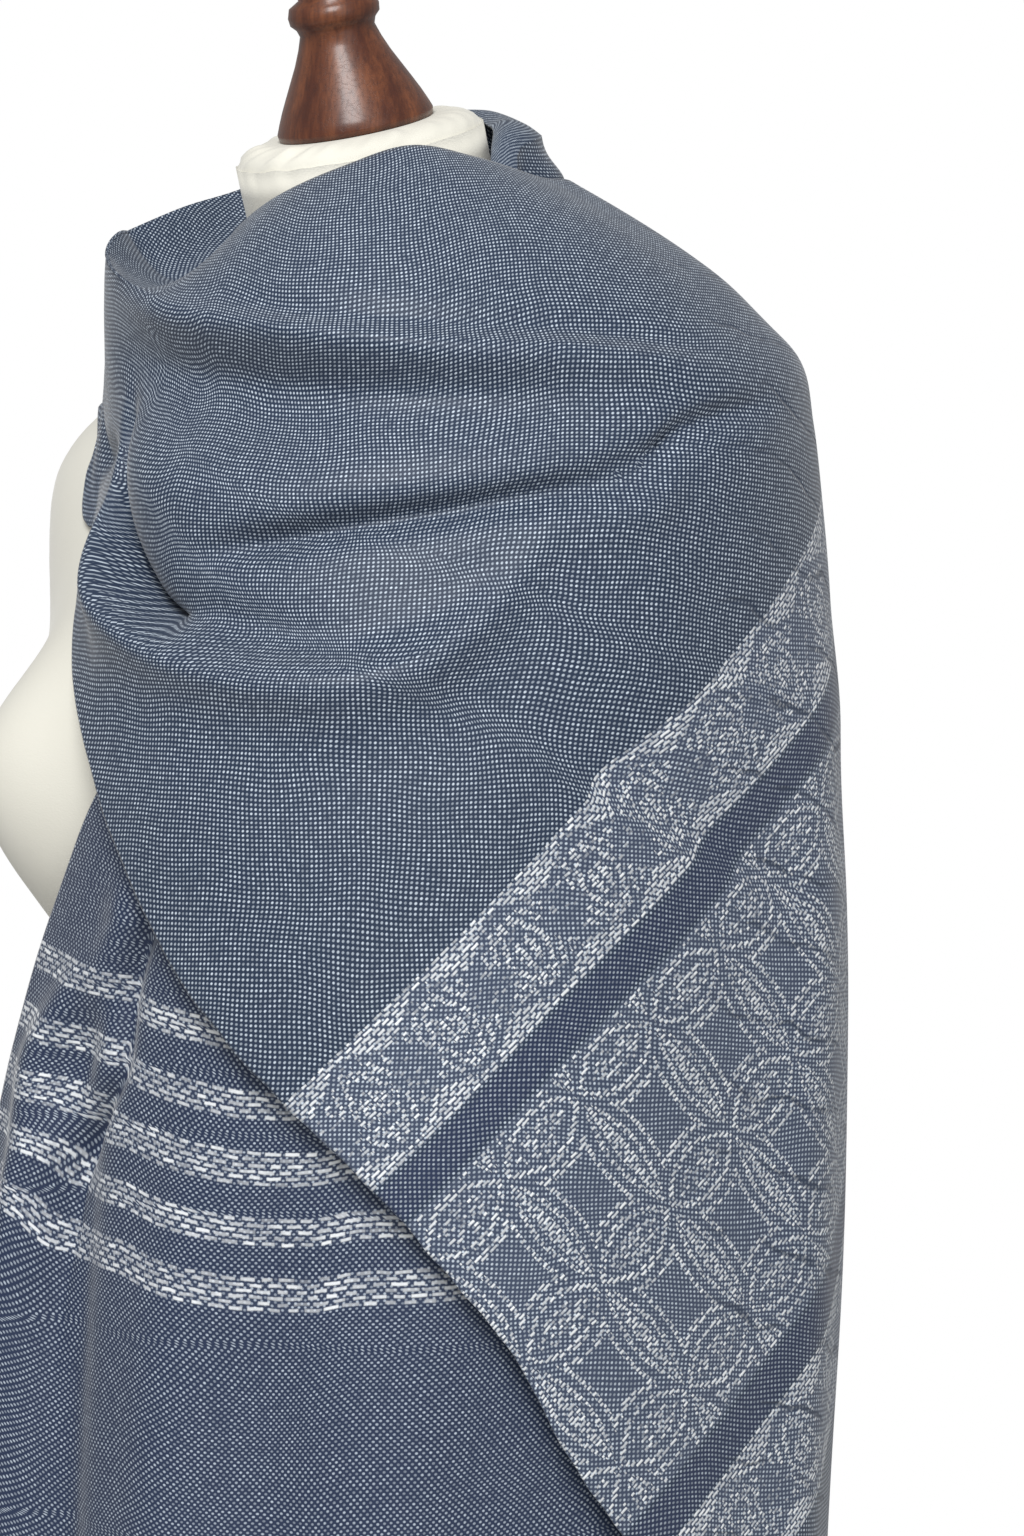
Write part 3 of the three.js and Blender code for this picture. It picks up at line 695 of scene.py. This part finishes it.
TORSO_SIDES = 160
TORSO_HEIGHTS = ((TORSO["z"][0], 880, 150), (880, 885, 4))  # heights and steps


def make_torso():
    azimuth, z = np.meshgrid(azimuths(TORSO_SIDES), spaced(*TORSO_HEIGHTS))
    piece = loft("torso", place(azimuth, form_radius(azimuth, z), z))
    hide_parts("form_torso")
    return piece


CAP_CROWN = 1.5  # how far the cap's middle rises above its rim's plane
# The cap's sections: place up the neck, radius, rise above that place's plane and gathering.
CAP = (
    (0, 58, 0, 0), (0.35, 58, 0, 0.1), (0.7, 58, 0, 0.3), (0.9, 58, 0, 0.5), (1, 57.4, -9, 0.7),
    (1, 57, -7, 0.7), (1, 56.2, -5, 0.8), (1, 55, -3.2, 1), (1, 53.4, -2, 1.1),
    (1, 51.5, -0.8, 1.3), (1, 49.5, 0, 1.5), (1, 47.5, 0.6, 1.6), (1, 45.5, 1, 1.5),
    (1, 43.5, 1.2, 1), (1, 41.5, 1.4, 0.4), (1, NECK_TOP_RADIUS, CAP_CROWN, 0),
)
CAP_SIDES = 288
GATHERS = (7, 11, 13, 17, 22, 29)  # waves round the cap that add up to its uneven gathers
GATHER_DEPTH = 0.9
GATHER_OUT = 0.35  # how much of a gather's height also stands outward
GATHER_LEAST = 0.35  # share of its depth that is left far from where it is strongest
GATHER_AZIMUTH = -15  # where the gathers are strongest
GATHER_REACH = 55
GATHER_TURN = math.radians(25)  # how the gathers slant as the cap rises, counted in steps
GATHER_STEPS = 3


def make_neck_cap():
    azimuth = azimuths(CAP_SIDES)
    turn = np.radians(azimuth)
    gather = sum(np.cos(n * turn + n * n) for n in GATHERS) / 3
    away = (azimuth - GATHER_AZIMUTH + 180) % 360 - 180
    strength = GATHER_LEAST + (1 - GATHER_LEAST) * bell(away / GATHER_REACH)
    rings = []
    for t, radius, rise, gathered in CAP:
        fold = GATHER_DEPTH * gather * strength * gathered
        fold = np.roll(fold, int(round(GATHER_TURN * rise * GATHER_STEPS)))
        section = place(azimuth, radius + GATHER_OUT * fold, rise + fold)
        rings.append(moved(section, neck_frame(t)))
    piece = loft("neck_cap", np.array(rings))
    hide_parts("form_neck_cap")
    return piece


# Half outlines, radius and height, from the foot up.
FINIAL = (
    (36, 0), (36.4, 3), (34.8, 7), (32.6, 12), (29.6, 18), (26, 25), (22.4, 32), (19.4, 39),
    (17.4, 45), (18.4, 48), (20.8, 50.5), (21.2, 54), (20, 58), (15, 61), (16, 66), (13.5, 72),
    (7, 76), (2, 77),
)
BASE = (
    (BASE_RADIUS - 2, 0), (BASE_RADIUS, 3), (BASE_RADIUS, BASE_THICK - 8),
    (BASE_RADIUS - 3, BASE_THICK - 3), (BASE_RADIUS - 9, BASE_THICK),
    (BASE_COLLAR_RADIUS + 8, BASE_THICK + 2), (BASE_COLLAR_RADIUS, BASE_THICK + 6),
    (BASE_COLLAR_RADIUS, BASE_THICK + BASE_COLLAR_HEIGHT),
)


def turned(name, outline, sides, matrix=None):
    """A piece turned from its half outline, standing on z = 0 before it is moved."""
    whole = np.ones(sides)
    rings = np.array([place(azimuths(sides), r * whole, h * whole) for r, h in outline])
    if matrix is not None:
        rings = moved(rings, matrix)
    return loft(name, rings)


def make_finial():
    seat = neck_frame(1) @ Matrix.Translation((0, 0, CAP_CROWN + FIT))
    piece = turned("finial", FINIAL, 96, seat)
    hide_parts("neck_finial")
    return piece


def make_pole():
    low = BASE_THICK + BASE_COLLAR_HEIGHT + FIT
    high = TORSO["z"][0] - FIT
    piece = turned("pole", ((POLE_RADIUS, low), (POLE_RADIUS, high)), 64)
    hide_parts("stand_pole")
    return piece


def make_base():
    piece = turned("base", BASE, 128)
    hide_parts("stand_base")
    return piece


# ------------------------------------------------------------------ material kit


def feed(tree, place_in, value):
    """Gives a shader node's input a number, or what varies over the surface."""
    if isinstance(value, Field):
        tree.links.new(value.socket, place_in)
    else:
        place_in.default_value = value


class Field:
    """A number or colour that varies over a surface, as a shader node's output."""

    def __init__(self, tree, socket):
        self.tree = tree
        self.socket = socket

    def math(self, operation, *others, clamp=False):
        node = self.tree.nodes.new("ShaderNodeMath")
        node.operation = operation
        node.use_clamp = clamp
        for place_in, value in zip(node.inputs, (self, *others)):
            feed(self.tree, place_in, value)
        return Field(self.tree, node.outputs[0])

    def __add__(self, other):
        return self.math("ADD", other)

    def __sub__(self, other):
        return self.math("SUBTRACT", other)

    def __rsub__(self, other):
        return (self * -1) + other

    def __mul__(self, other):
        return self.math("MULTIPLY", other)

    def __truediv__(self, other):
        return self.math("DIVIDE", other)

    def floor(self):
        return self.math("FLOOR")

    def fract(self):
        return self.math("FRACT")

    def abs(self):
        return self.math("ABSOLUTE")

    def sin(self):
        return self.math("SINE")

    def root(self):
        return self.math("SQRT")

    def least(self, other):
        return self.math("MINIMUM", other)

    def most(self, other):
        return self.math("MAXIMUM", other)

    def over(self, limit):
        return self.math("GREATER_THAN", limit)

    def ramp(self, low, high, to_low=0.0, to_high=1.0, style="SMOOTHSTEP"):
        """Eased from to_low at low to to_high at high. low may be the larger."""
        node = self.tree.nodes.new("ShaderNodeMapRange")
        node.interpolation_type = style
        flip = low > high
        values = (high, low, to_high, to_low) if flip else (low, high, to_low, to_high)
        self.tree.links.new(self.socket, node.inputs["Value"])
        for name, value in zip(("From Min", "From Max", "To Min", "To Max"), values):
            node.inputs[name].default_value = value
        return Field(self.tree, node.outputs["Result"])

    def between(self, low, high, soft):
        """1 between two values, with soft edges."""
        return self.ramp(low - soft, low + soft) * self.ramp(high + soft, high - soft)


def length_of(x, y):
    return (x * x + y * y).root()


class Look:
    """A procedural material: its nodes and the Principled shader."""

    def __init__(self, name, roughness, **sockets):
        self.material = bpy.data.materials.new(name)
        self.material.use_nodes = True
        self.tree = self.material.node_tree
        self.shader = self.tree.nodes["Principled BSDF"]
        self.shader.inputs["Roughness"].default_value = roughness
        for socket, value in sockets.items():
            self.shader.inputs[socket.replace("_", " ")].default_value = value

    def flat_place(self):
        """u and v on the flat cloth, in millimetres."""
        node = self.tree.nodes.new("ShaderNodeUVMap")
        node.uv_map = "cloth"
        split = self.tree.nodes.new("ShaderNodeSeparateXYZ")
        self.tree.links.new(node.outputs["UV"], split.inputs[0])
        return Field(self.tree, split.outputs[0]) / MM, Field(self.tree, split.outputs[1]) / MM

    def object_place(self):
        """x, y and z in millimetres."""
        node = self.tree.nodes.new("ShaderNodeTexCoord")
        split = self.tree.nodes.new("ShaderNodeSeparateXYZ")
        self.tree.links.new(node.outputs["Object"], split.inputs[0])
        return tuple(Field(self.tree, out) / MM for out in split.outputs)

    def joined(self, x, y, z=0.0):
        node = self.tree.nodes.new("ShaderNodeCombineXYZ")
        for place_in, value in zip(node.inputs, (x, y, z)):
            feed(self.tree, place_in, value)
        return node.outputs[0]

    def noise(self, x, y, z=0.0, detail=2.0, roughness=0.5):
        """Noise from 0 to 1, its places given in units of its own grain."""
        node = self.tree.nodes.new("ShaderNodeTexNoise")
        node.inputs["Scale"].default_value = 1.0
        node.inputs["Detail"].default_value = detail
        node.inputs["Roughness"].default_value = roughness
        self.tree.links.new(self.joined(x, y, z), node.inputs["Vector"])
        return Field(self.tree, node.outputs["Fac"])

    def chance(self, x, y, z=0.0):
        """A random number from 0 to 1 for each whole x, y."""
        node = self.tree.nodes.new("ShaderNodeTexWhiteNoise")
        node.noise_dimensions = "3D"
        self.tree.links.new(self.joined(x, y, z), node.inputs["Vector"])
        return Field(self.tree, node.outputs["Value"])

    def blend(self, share, first, second):
        """first where share is 0, second where it is 1: RGB triples or other blends."""
        node = self.tree.nodes.new("ShaderNodeMix")
        node.data_type = "RGBA"
        self.tree.links.new(share.socket, node.inputs[0])
        for place_in, value in zip((node.inputs[6], node.inputs[7]), (first, second)):
            if isinstance(value, tuple):
                place_in.default_value = (*value, 1)
            else:
                self.tree.links.new(value, place_in)
        return node.outputs[2]

    def finish(self, colour, height=None, bump=1.0, depth=MM):
        """Base colour, and a bump whose height field is in units of depth."""
        if isinstance(colour, tuple):
            self.shader.inputs["Base Color"].default_value = (*colour, 1)
        else:
            self.tree.links.new(colour, self.shader.inputs["Base Color"])
        if height is not None:
            node = self.tree.nodes.new("ShaderNodeBump")
            node.inputs["Strength"].default_value = bump
            node.inputs["Distance"].default_value = depth
            self.tree.links.new(height.socket, node.inputs["Height"])
            self.tree.links.new(node.outputs[0], self.shader.inputs["Normal"])
        return self.material


def linear(red, green, blue):
    """A colour as it looks on screen, 0 to 255, as the numbers a shader takes."""
    def one(value):
        share = value / 255
        return share / 12.92 if share <= 0.04045 else ((share + 0.055) / 1.055) ** 2.4

    return one(red), one(green), one(blue)


# ------------------------------------------------------------------ the weave

NAVY = linear(34, 48, 70)
SILVER = linear(206, 218, 230)
WHITE = linear(238, 241, 243)
STRIPE_NAVY = linear(34, 46, 74)
BORDER_SLATE = linear(66, 76, 98)
YARN = 1.45  # mm from one yarn of the plain weave to the next
FLOAT_LONG = 5.6  # mm from one woven dash to the next
FLOAT_ROW = 1.9  # mm between rows of dashes

# Warp places of the border, counted on the flat cloth in millimetres.
BAND_ONE = (-394.0, -342.0)
CIRCLES = (-322.0, -153.0)
BAND_TWO = (-132.0, -80.0)
DIAMOND_REPEAT = 46.0
CIRCLE_ALONG = 48.5
CIRCLE_ACROSS = 65.0
FIRST_KNOT = (385.0, -306.0)  # weft and warp place of a knot, where circles cross
CIRCLE_RADIUS = 0.7071  # in repeats, so that neighbours cross at the knots
LEAST_COVERED = 0.16  # share of the diamond bands' ground that dashes cover anyway


def plain_weave(look, u, v):
    """Light dots of the plain weave, one where each second weft yarn crosses: brightness 0 to 1."""
    wander = look.noise(u / 60, v / 60, 3.0, detail=1.0) - 0.5
    other = look.noise(u / 60, v / 60, 9.0, detail=1.0) - 0.5
    x = (u + wander * 9) / YARN
    y = (v + other * 9) / YARN
    rank = y.floor()
    pair = (x + rank) / 2
    across = (pair.fract() - 0.5) * 2
    upward = y.fract() - 0.5
    dot = length_of(across * 0.92, upward * 1.12).ramp(0.56, 0.2)
    slubs = look.noise(u / 70, v / 0.9, 5.0, detail=1.0)
    slubs = slubs + look.noise(u / 0.9, v / 70, 6.0, detail=1.0)
    uneven = look.chance(pair.floor(), rank).ramp(0, 1, 0.45, 1.0, "LINEAR")
    return dot * uneven * slubs.ramp(0.6, 1.35, 0.7, 1.15)


def dashes(look, u, v, long=FLOAT_LONG, row=FLOAT_ROW, seed=0.0):
    """Woven dashes along u. Returns their brightness and the warp place of each row's middle."""
    v = v + (look.noise(u / 9, v / 9, seed + 4, detail=1.0) - 0.5) * row * 0.7
    rank = (v / row).floor()
    shift = (rank * 0.5).fract() + (look.chance(rank, 0.5, seed) - 0.5) * 0.3
    x = u / long + shift
    cell = x.floor()
    across = (x.fract() - 0.5).abs()
    upward = ((v / row).fract() - 0.5).abs()
    reach = look.chance(cell, rank, seed + 1).ramp(0, 1, 0.28, 0.47, "LINEAR")
    ends = ((reach - across) / 0.07).math("ADD", 0.0, clamp=True)
    body = upward.ramp(0.4, 0.14)
    glow = look.chance(cell, rank, seed + 2).ramp(0, 1, 0.45, 1.0, "LINEAR")
    return ends * body * glow, (rank + 0.5) * row


def diamond_band(u, v, band):
    """How much of a diamond band is covered with dashes at a place."""
    middle = (band[0] + band[1]) / 2
    half = (band[1] - band[0]) / 2
    x = ((u / DIAMOND_REPEAT).fract() - 0.5).abs() * 2
    y = ((v - middle) / half).abs()
    span = x + y
    split = y - x * 0.4
    blocks = split.ramp(0.5, 0.56) * x.ramp(0.8, 0.76)
    edge = y.over(0.92)
    strokes = ((x - y * 0.5) * 26).sin().ramp(-0.3, 0.3)
    wedge = split.ramp(0.42, 0.36) * span.ramp(0.56, 0.62) * x.ramp(0.88, 0.84) * strokes
    ladder = x.between(0.87, 0.965, 0.01) * (y * 14).sin().ramp(-0.4, 0.1)
    inside = y.ramp(1.02, 1.0)
    return blocks.most(edge).most(wedge * 0.9).most(ladder).most(LEAST_COVERED) * inside


def circle_band(u, v):
    """How much of the overlapping circles is covered with dashes at a place."""
    x = (((u - FIRST_KNOT[0]) / CIRCLE_ALONG).fract() - 0.5).abs()
    y = (((v - FIRST_KNOT[1]) / CIRCLE_ACROSS).fract() - 0.5).abs()
    along_petal = length_of(x, 1 - y)
    across_petal = length_of(1 - x, y)
    lying = along_petal.between(0.655, CIRCLE_RADIUS - 0.008, 0.006)
    lying = lying.most(along_petal.ramp(0.612, 0.604) * 0.42)
    standing = across_petal.ramp(CIRCLE_RADIUS - 0.03, CIRCLE_RADIUS - 0.04)
    rays = ((0.5 - x) / (0.54 - y) * 24).sin().ramp(-0.5, -0.1)
    nearest = along_petal.least(across_petal)
    scallop = nearest.between(0.75, 0.795, 0.006)
    share = lying.most(standing * rays).most(scallop * 0.95)
    inside = v.over(CIRCLES[0]) * (1 - v.over(CIRCLES[1]))
    return share * inside


def border(look, u, v):
    """The brightness of the dashes in the border's three patterned bands."""
    dash, row = dashes(look, u, v)
    share = diamond_band(u, row, BAND_ONE).most(diamond_band(u, row, BAND_TWO))
    share = share.most(circle_band(u, row))
    missing = look.chance((u / FLOAT_LONG * 2).floor(), row, 7.0) * 0.5
    return dash * (share - missing).ramp(0.0, 0.3)


def silk_look(name, pattern):
    look = Look(name, 0.55, Sheen_Weight=0.2, Sheen_Roughness=0.4, Specular_IOR_Level=0.3)
    u, v = look.flat_place()
    dots = plain_weave(look, u, v)
    floats, deep, bordered = pattern(look, u, v)
    ground = look.blend(bordered * 0.75, look.blend(deep, NAVY, STRIPE_NAVY), BORDER_SLATE)
    light = dots * (1 - deep * 0.3)
    woven = look.blend(light * 0.9, ground, SILVER)
    colour = look.blend(floats, woven, WHITE)
    creased = puckers(look, u, v) if name == "silk_wound" else v * 0.0
    # Painted shade: the colour is darkened towards NAVY along the fine creases, besides the real
    # dip of their bump.
    colour = look.blend(creased * 0.7, colour, NAVY)
    height = dots * 0.4 + floats * 0.8 - creased * 2
    return look.finish(colour, height, bump=0.5, depth=0.5 * MM)


PUCKERS = (34.5, 0.22)  # spacing of the fine creases round the left arm, and how they slope


def puckers(look, u, v):
    """Fine creases that run nearly level round the back of the left arm, as a mask of thin lines.
    The cloth sinks them in its bump and darkens its colour along them as painted shade.
    """
    spacing, slope = PUCKERS
    way = u * math.cos(GRAIN) + v * math.sin(GRAIN)
    height = u * math.sin(GRAIN) - v * math.cos(GRAIN)
    bent = (look.noise(u / 45, v / 45, 14.0) - 0.5) * 0.9
    place_in = (height + way * slope) / spacing + bent
    thin = (place_in.fract() - 0.5).abs().ramp(0.05, 0.01)
    broken = look.noise(way / 40, place_in.floor() * 3, 15.0).ramp(0.42, 0.55)
    return thin * broken * way.ramp(150, 190)


def wound_pattern(look, u, v):
    deep_one = v.between(BAND_ONE[1] + 2, CIRCLES[0] - 2, 1.5)
    deep_two = v.between(CIRCLES[1] + 2, BAND_TWO[0] - 2, 1.5)
    bordered = v.between(*BAND_ONE, 1).most(v.between(*CIRCLES, 1)).most(v.between(*BAND_TWO, 1))
    return border(look, u, v), deep_one.most(deep_two), bordered


END_STRIPES = (557.0, 27.5, 13.0, 5)  # height of the first, spacing, width and count


def end_pattern(look, u, v):
    first, spacing, width, count = END_STRIPES
    dash, row = dashes(look, u, v, long=8.5, row=2.6, seed=20.0)
    order = (first - row) / spacing
    half = width / spacing / 2
    in_stripe = ((order + 0.5).fract() - 0.5).abs().ramp(half + 0.02, half)
    counted = order.between(-0.5, count - 0.5, 0.01)
    stripe = in_stripe * counted
    patchy = look.noise(u / 16, row / 5, 21.0).ramp(0.35, 0.6, 0.5, 0.95)
    return dash * stripe * patchy, v * 0.0 + 0.8, stripe * 0.4


def jersey_look():
    look = Look("jersey", 0.88, Sheen_Weight=0.3, Sheen_Roughness=0.5, Specular_IOR_Level=0.25)
    x, y, z = look.object_place()
    knit = look.noise(x / 1.1, y / 1.1, z / 0.8, detail=2.0)
    cloud = look.noise(x / 60, y / 60, z / 60, detail=2.0)
    colour = look.blend(cloud, linear(214, 211, 199), linear(224, 222, 211))
    return look.finish(colour, knit, bump=0.25, depth=0.4 * MM)


def wood_look():
    varnish = {"Coat_Weight": 0.35, "Coat_Roughness": 0.22, "Specular_IOR_Level": 0.35}
    look = Look("varnished_wood", 0.42, **varnish)
    x, y, z = look.object_place()
    grain = look.noise(x / 9, y / 9, z / 60, detail=5.0, roughness=0.62)
    fine = look.noise(x / 1.4, y / 1.4, z / 16, detail=3.0)
    cracks = (look.noise(x / 5, y / 5, z / 2.6, detail=4.0) - 0.5).abs().ramp(0.0, 0.022)
    colour = look.blend(grain.ramp(0.3, 0.7), linear(74, 35, 20), linear(116, 66, 38))
    colour = look.blend(fine.ramp(0.35, 0.75) * 0.5, colour, linear(54, 24, 15))
    colour = look.blend((1 - cracks) * 0.35, colour, linear(52, 24, 18))
    return look.finish(colour, cracks * 0.6 + fine * 0.3, bump=0.3, depth=0.3 * MM)


def steel_look():
    look = Look("brushed_steel", 0.32, Metallic=1.0)
    x, y, z = look.object_place()
    brushed = look.noise(x / 0.4, y / 0.4, z / 30, detail=2.0)
    colour = look.blend(brushed, linear(150, 151, 152), linear(176, 177, 178))
    return look.finish(colour, brushed, bump=0.1, depth=0.1 * MM)


# ------------------------------------------------------------------ studio

CAMERA_AZIMUTH = math.radians(42)
CAMERA_ELEVATION = math.radians(3.5)
CAMERA_DISTANCE = 2.0  # metres, like the rest of the studio
CAMERA_SIDE = 0.068  # the picture's middle lies this far right of the axis, seen from the camera
CAMERA_HEIGHT = 0.650
PIXELS_PER_METRE = 2150
PICTURE_HEIGHT = 1536
SENSOR = 36
FARTHEST_SEEN = 20
WORLD_LIGHT = 0.4
# Lamps: name, azimuth, height, distance, width and power.
LAMPS = (
    ("key", 34, 2.3, 2.1, 1.0, 67),
    ("fill", 70, 0.9, 2.8, 1.6, 8),
)
LAMP_TALL = 1.3  # a lamp's height as a share of its width
LAMP_AIM = 0.6
FLOOR_RADIUS = 1000  # mm, so that it stays below the picture's lower edge
FLOOR_DROP = 0.0004


def add_camera():
    data = bpy.data.cameras.new("camera")
    data.sensor_width = SENSOR
    data.lens = SENSOR * PIXELS_PER_METRE * CAMERA_DISTANCE / PICTURE_HEIGHT
    data.clip_end = FARTHEST_SEEN
    camera = bpy.data.objects.new("camera", data)
    bpy.context.collection.objects.link(camera)
    across = Vector((math.cos(CAMERA_AZIMUTH), math.sin(CAMERA_AZIMUTH), 0))
    forward = Vector((
        -math.sin(CAMERA_AZIMUTH) * math.cos(CAMERA_ELEVATION),
        math.cos(CAMERA_AZIMUTH) * math.cos(CAMERA_ELEVATION),
        -math.sin(CAMERA_ELEVATION),
    ))
    target = across * CAMERA_SIDE + Vector((0, 0, CAMERA_HEIGHT))
    camera.location = target - forward * CAMERA_DISTANCE
    camera.rotation_mode = "QUATERNION"
    camera.rotation_quaternion = forward.to_track_quat("-Z", "Y")
    bpy.context.scene.camera = camera


def add_light(name, azimuth, height, distance, size, power):
    data = bpy.data.lights.new(name, "AREA")
    data.shape = "RECTANGLE"
    data.size = size
    data.size_y = size * LAMP_TALL
    data.energy = power
    lamp = bpy.data.objects.new(name, data)
    bpy.context.collection.objects.link(lamp)
    turn = math.radians(azimuth)
    lamp.location = (distance * math.sin(turn), -distance * math.cos(turn), height)
    aim = Vector((0, 0, LAMP_AIM)) - lamp.location
    lamp.rotation_mode = "QUATERNION"
    lamp.rotation_quaternion = aim.to_track_quat("-Z", "Y")


def add_studio():
    world = bpy.data.worlds.new("studio")
    bpy.context.scene.world = world
    world.use_nodes = True
    backdrop = world.node_tree.nodes["Background"]
    backdrop.inputs["Color"].default_value = (1, 1, 1, 1)
    # The camera sees plain white behind the object, and the object a softer light from all round.
    seen = world.node_tree.nodes.new("ShaderNodeLightPath")
    strength = world.node_tree.nodes.new("ShaderNodeMapRange")
    strength.inputs["To Min"].default_value = WORLD_LIGHT
    world.node_tree.links.new(seen.outputs["Is Camera Ray"], strength.inputs["Value"])
    world.node_tree.links.new(strength.outputs["Result"], backdrop.inputs["Strength"])
    for lamp in LAMPS:
        add_light(*lamp)
    turn = np.radians(np.arange(0, 360, 3))
    ring = np.stack([np.cos(turn), np.sin(turn), 0 * turn], axis=-1) * FLOOR_RADIUS
    floor = new_object("floor", ring, [list(range(len(ring)))], smooth=False)
    floor.location.z = -FLOOR_DROP
    paint = Look("pale_floor", 0.8)
    floor.data.materials.append(paint.finish(linear(236, 236, 234)))
    bpy.context.scene.view_settings.view_transform = "Standard"


# ------------------------------------------------------------------ putting it together


def dress(piece, look):
    piece.data.materials.clear()
    piece.data.materials.append(look)
    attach(piece, "root")


silk = silk_look("silk_wound", wound_pattern)
silk_end = silk_look("silk_end", end_pattern)
jersey = jersey_look()
wood = wood_look()

wound = make_wound_stretch()
end = make_hanging_end()
dress(wound, silk)
dress(end, silk_end)
dress(make_torso(), jersey)
dress(make_neck_cap(), jersey)
dress(make_finial(), wood)
dress(make_pole(), steel_look())
dress(make_base(), wood)

add_camera()
add_studio()
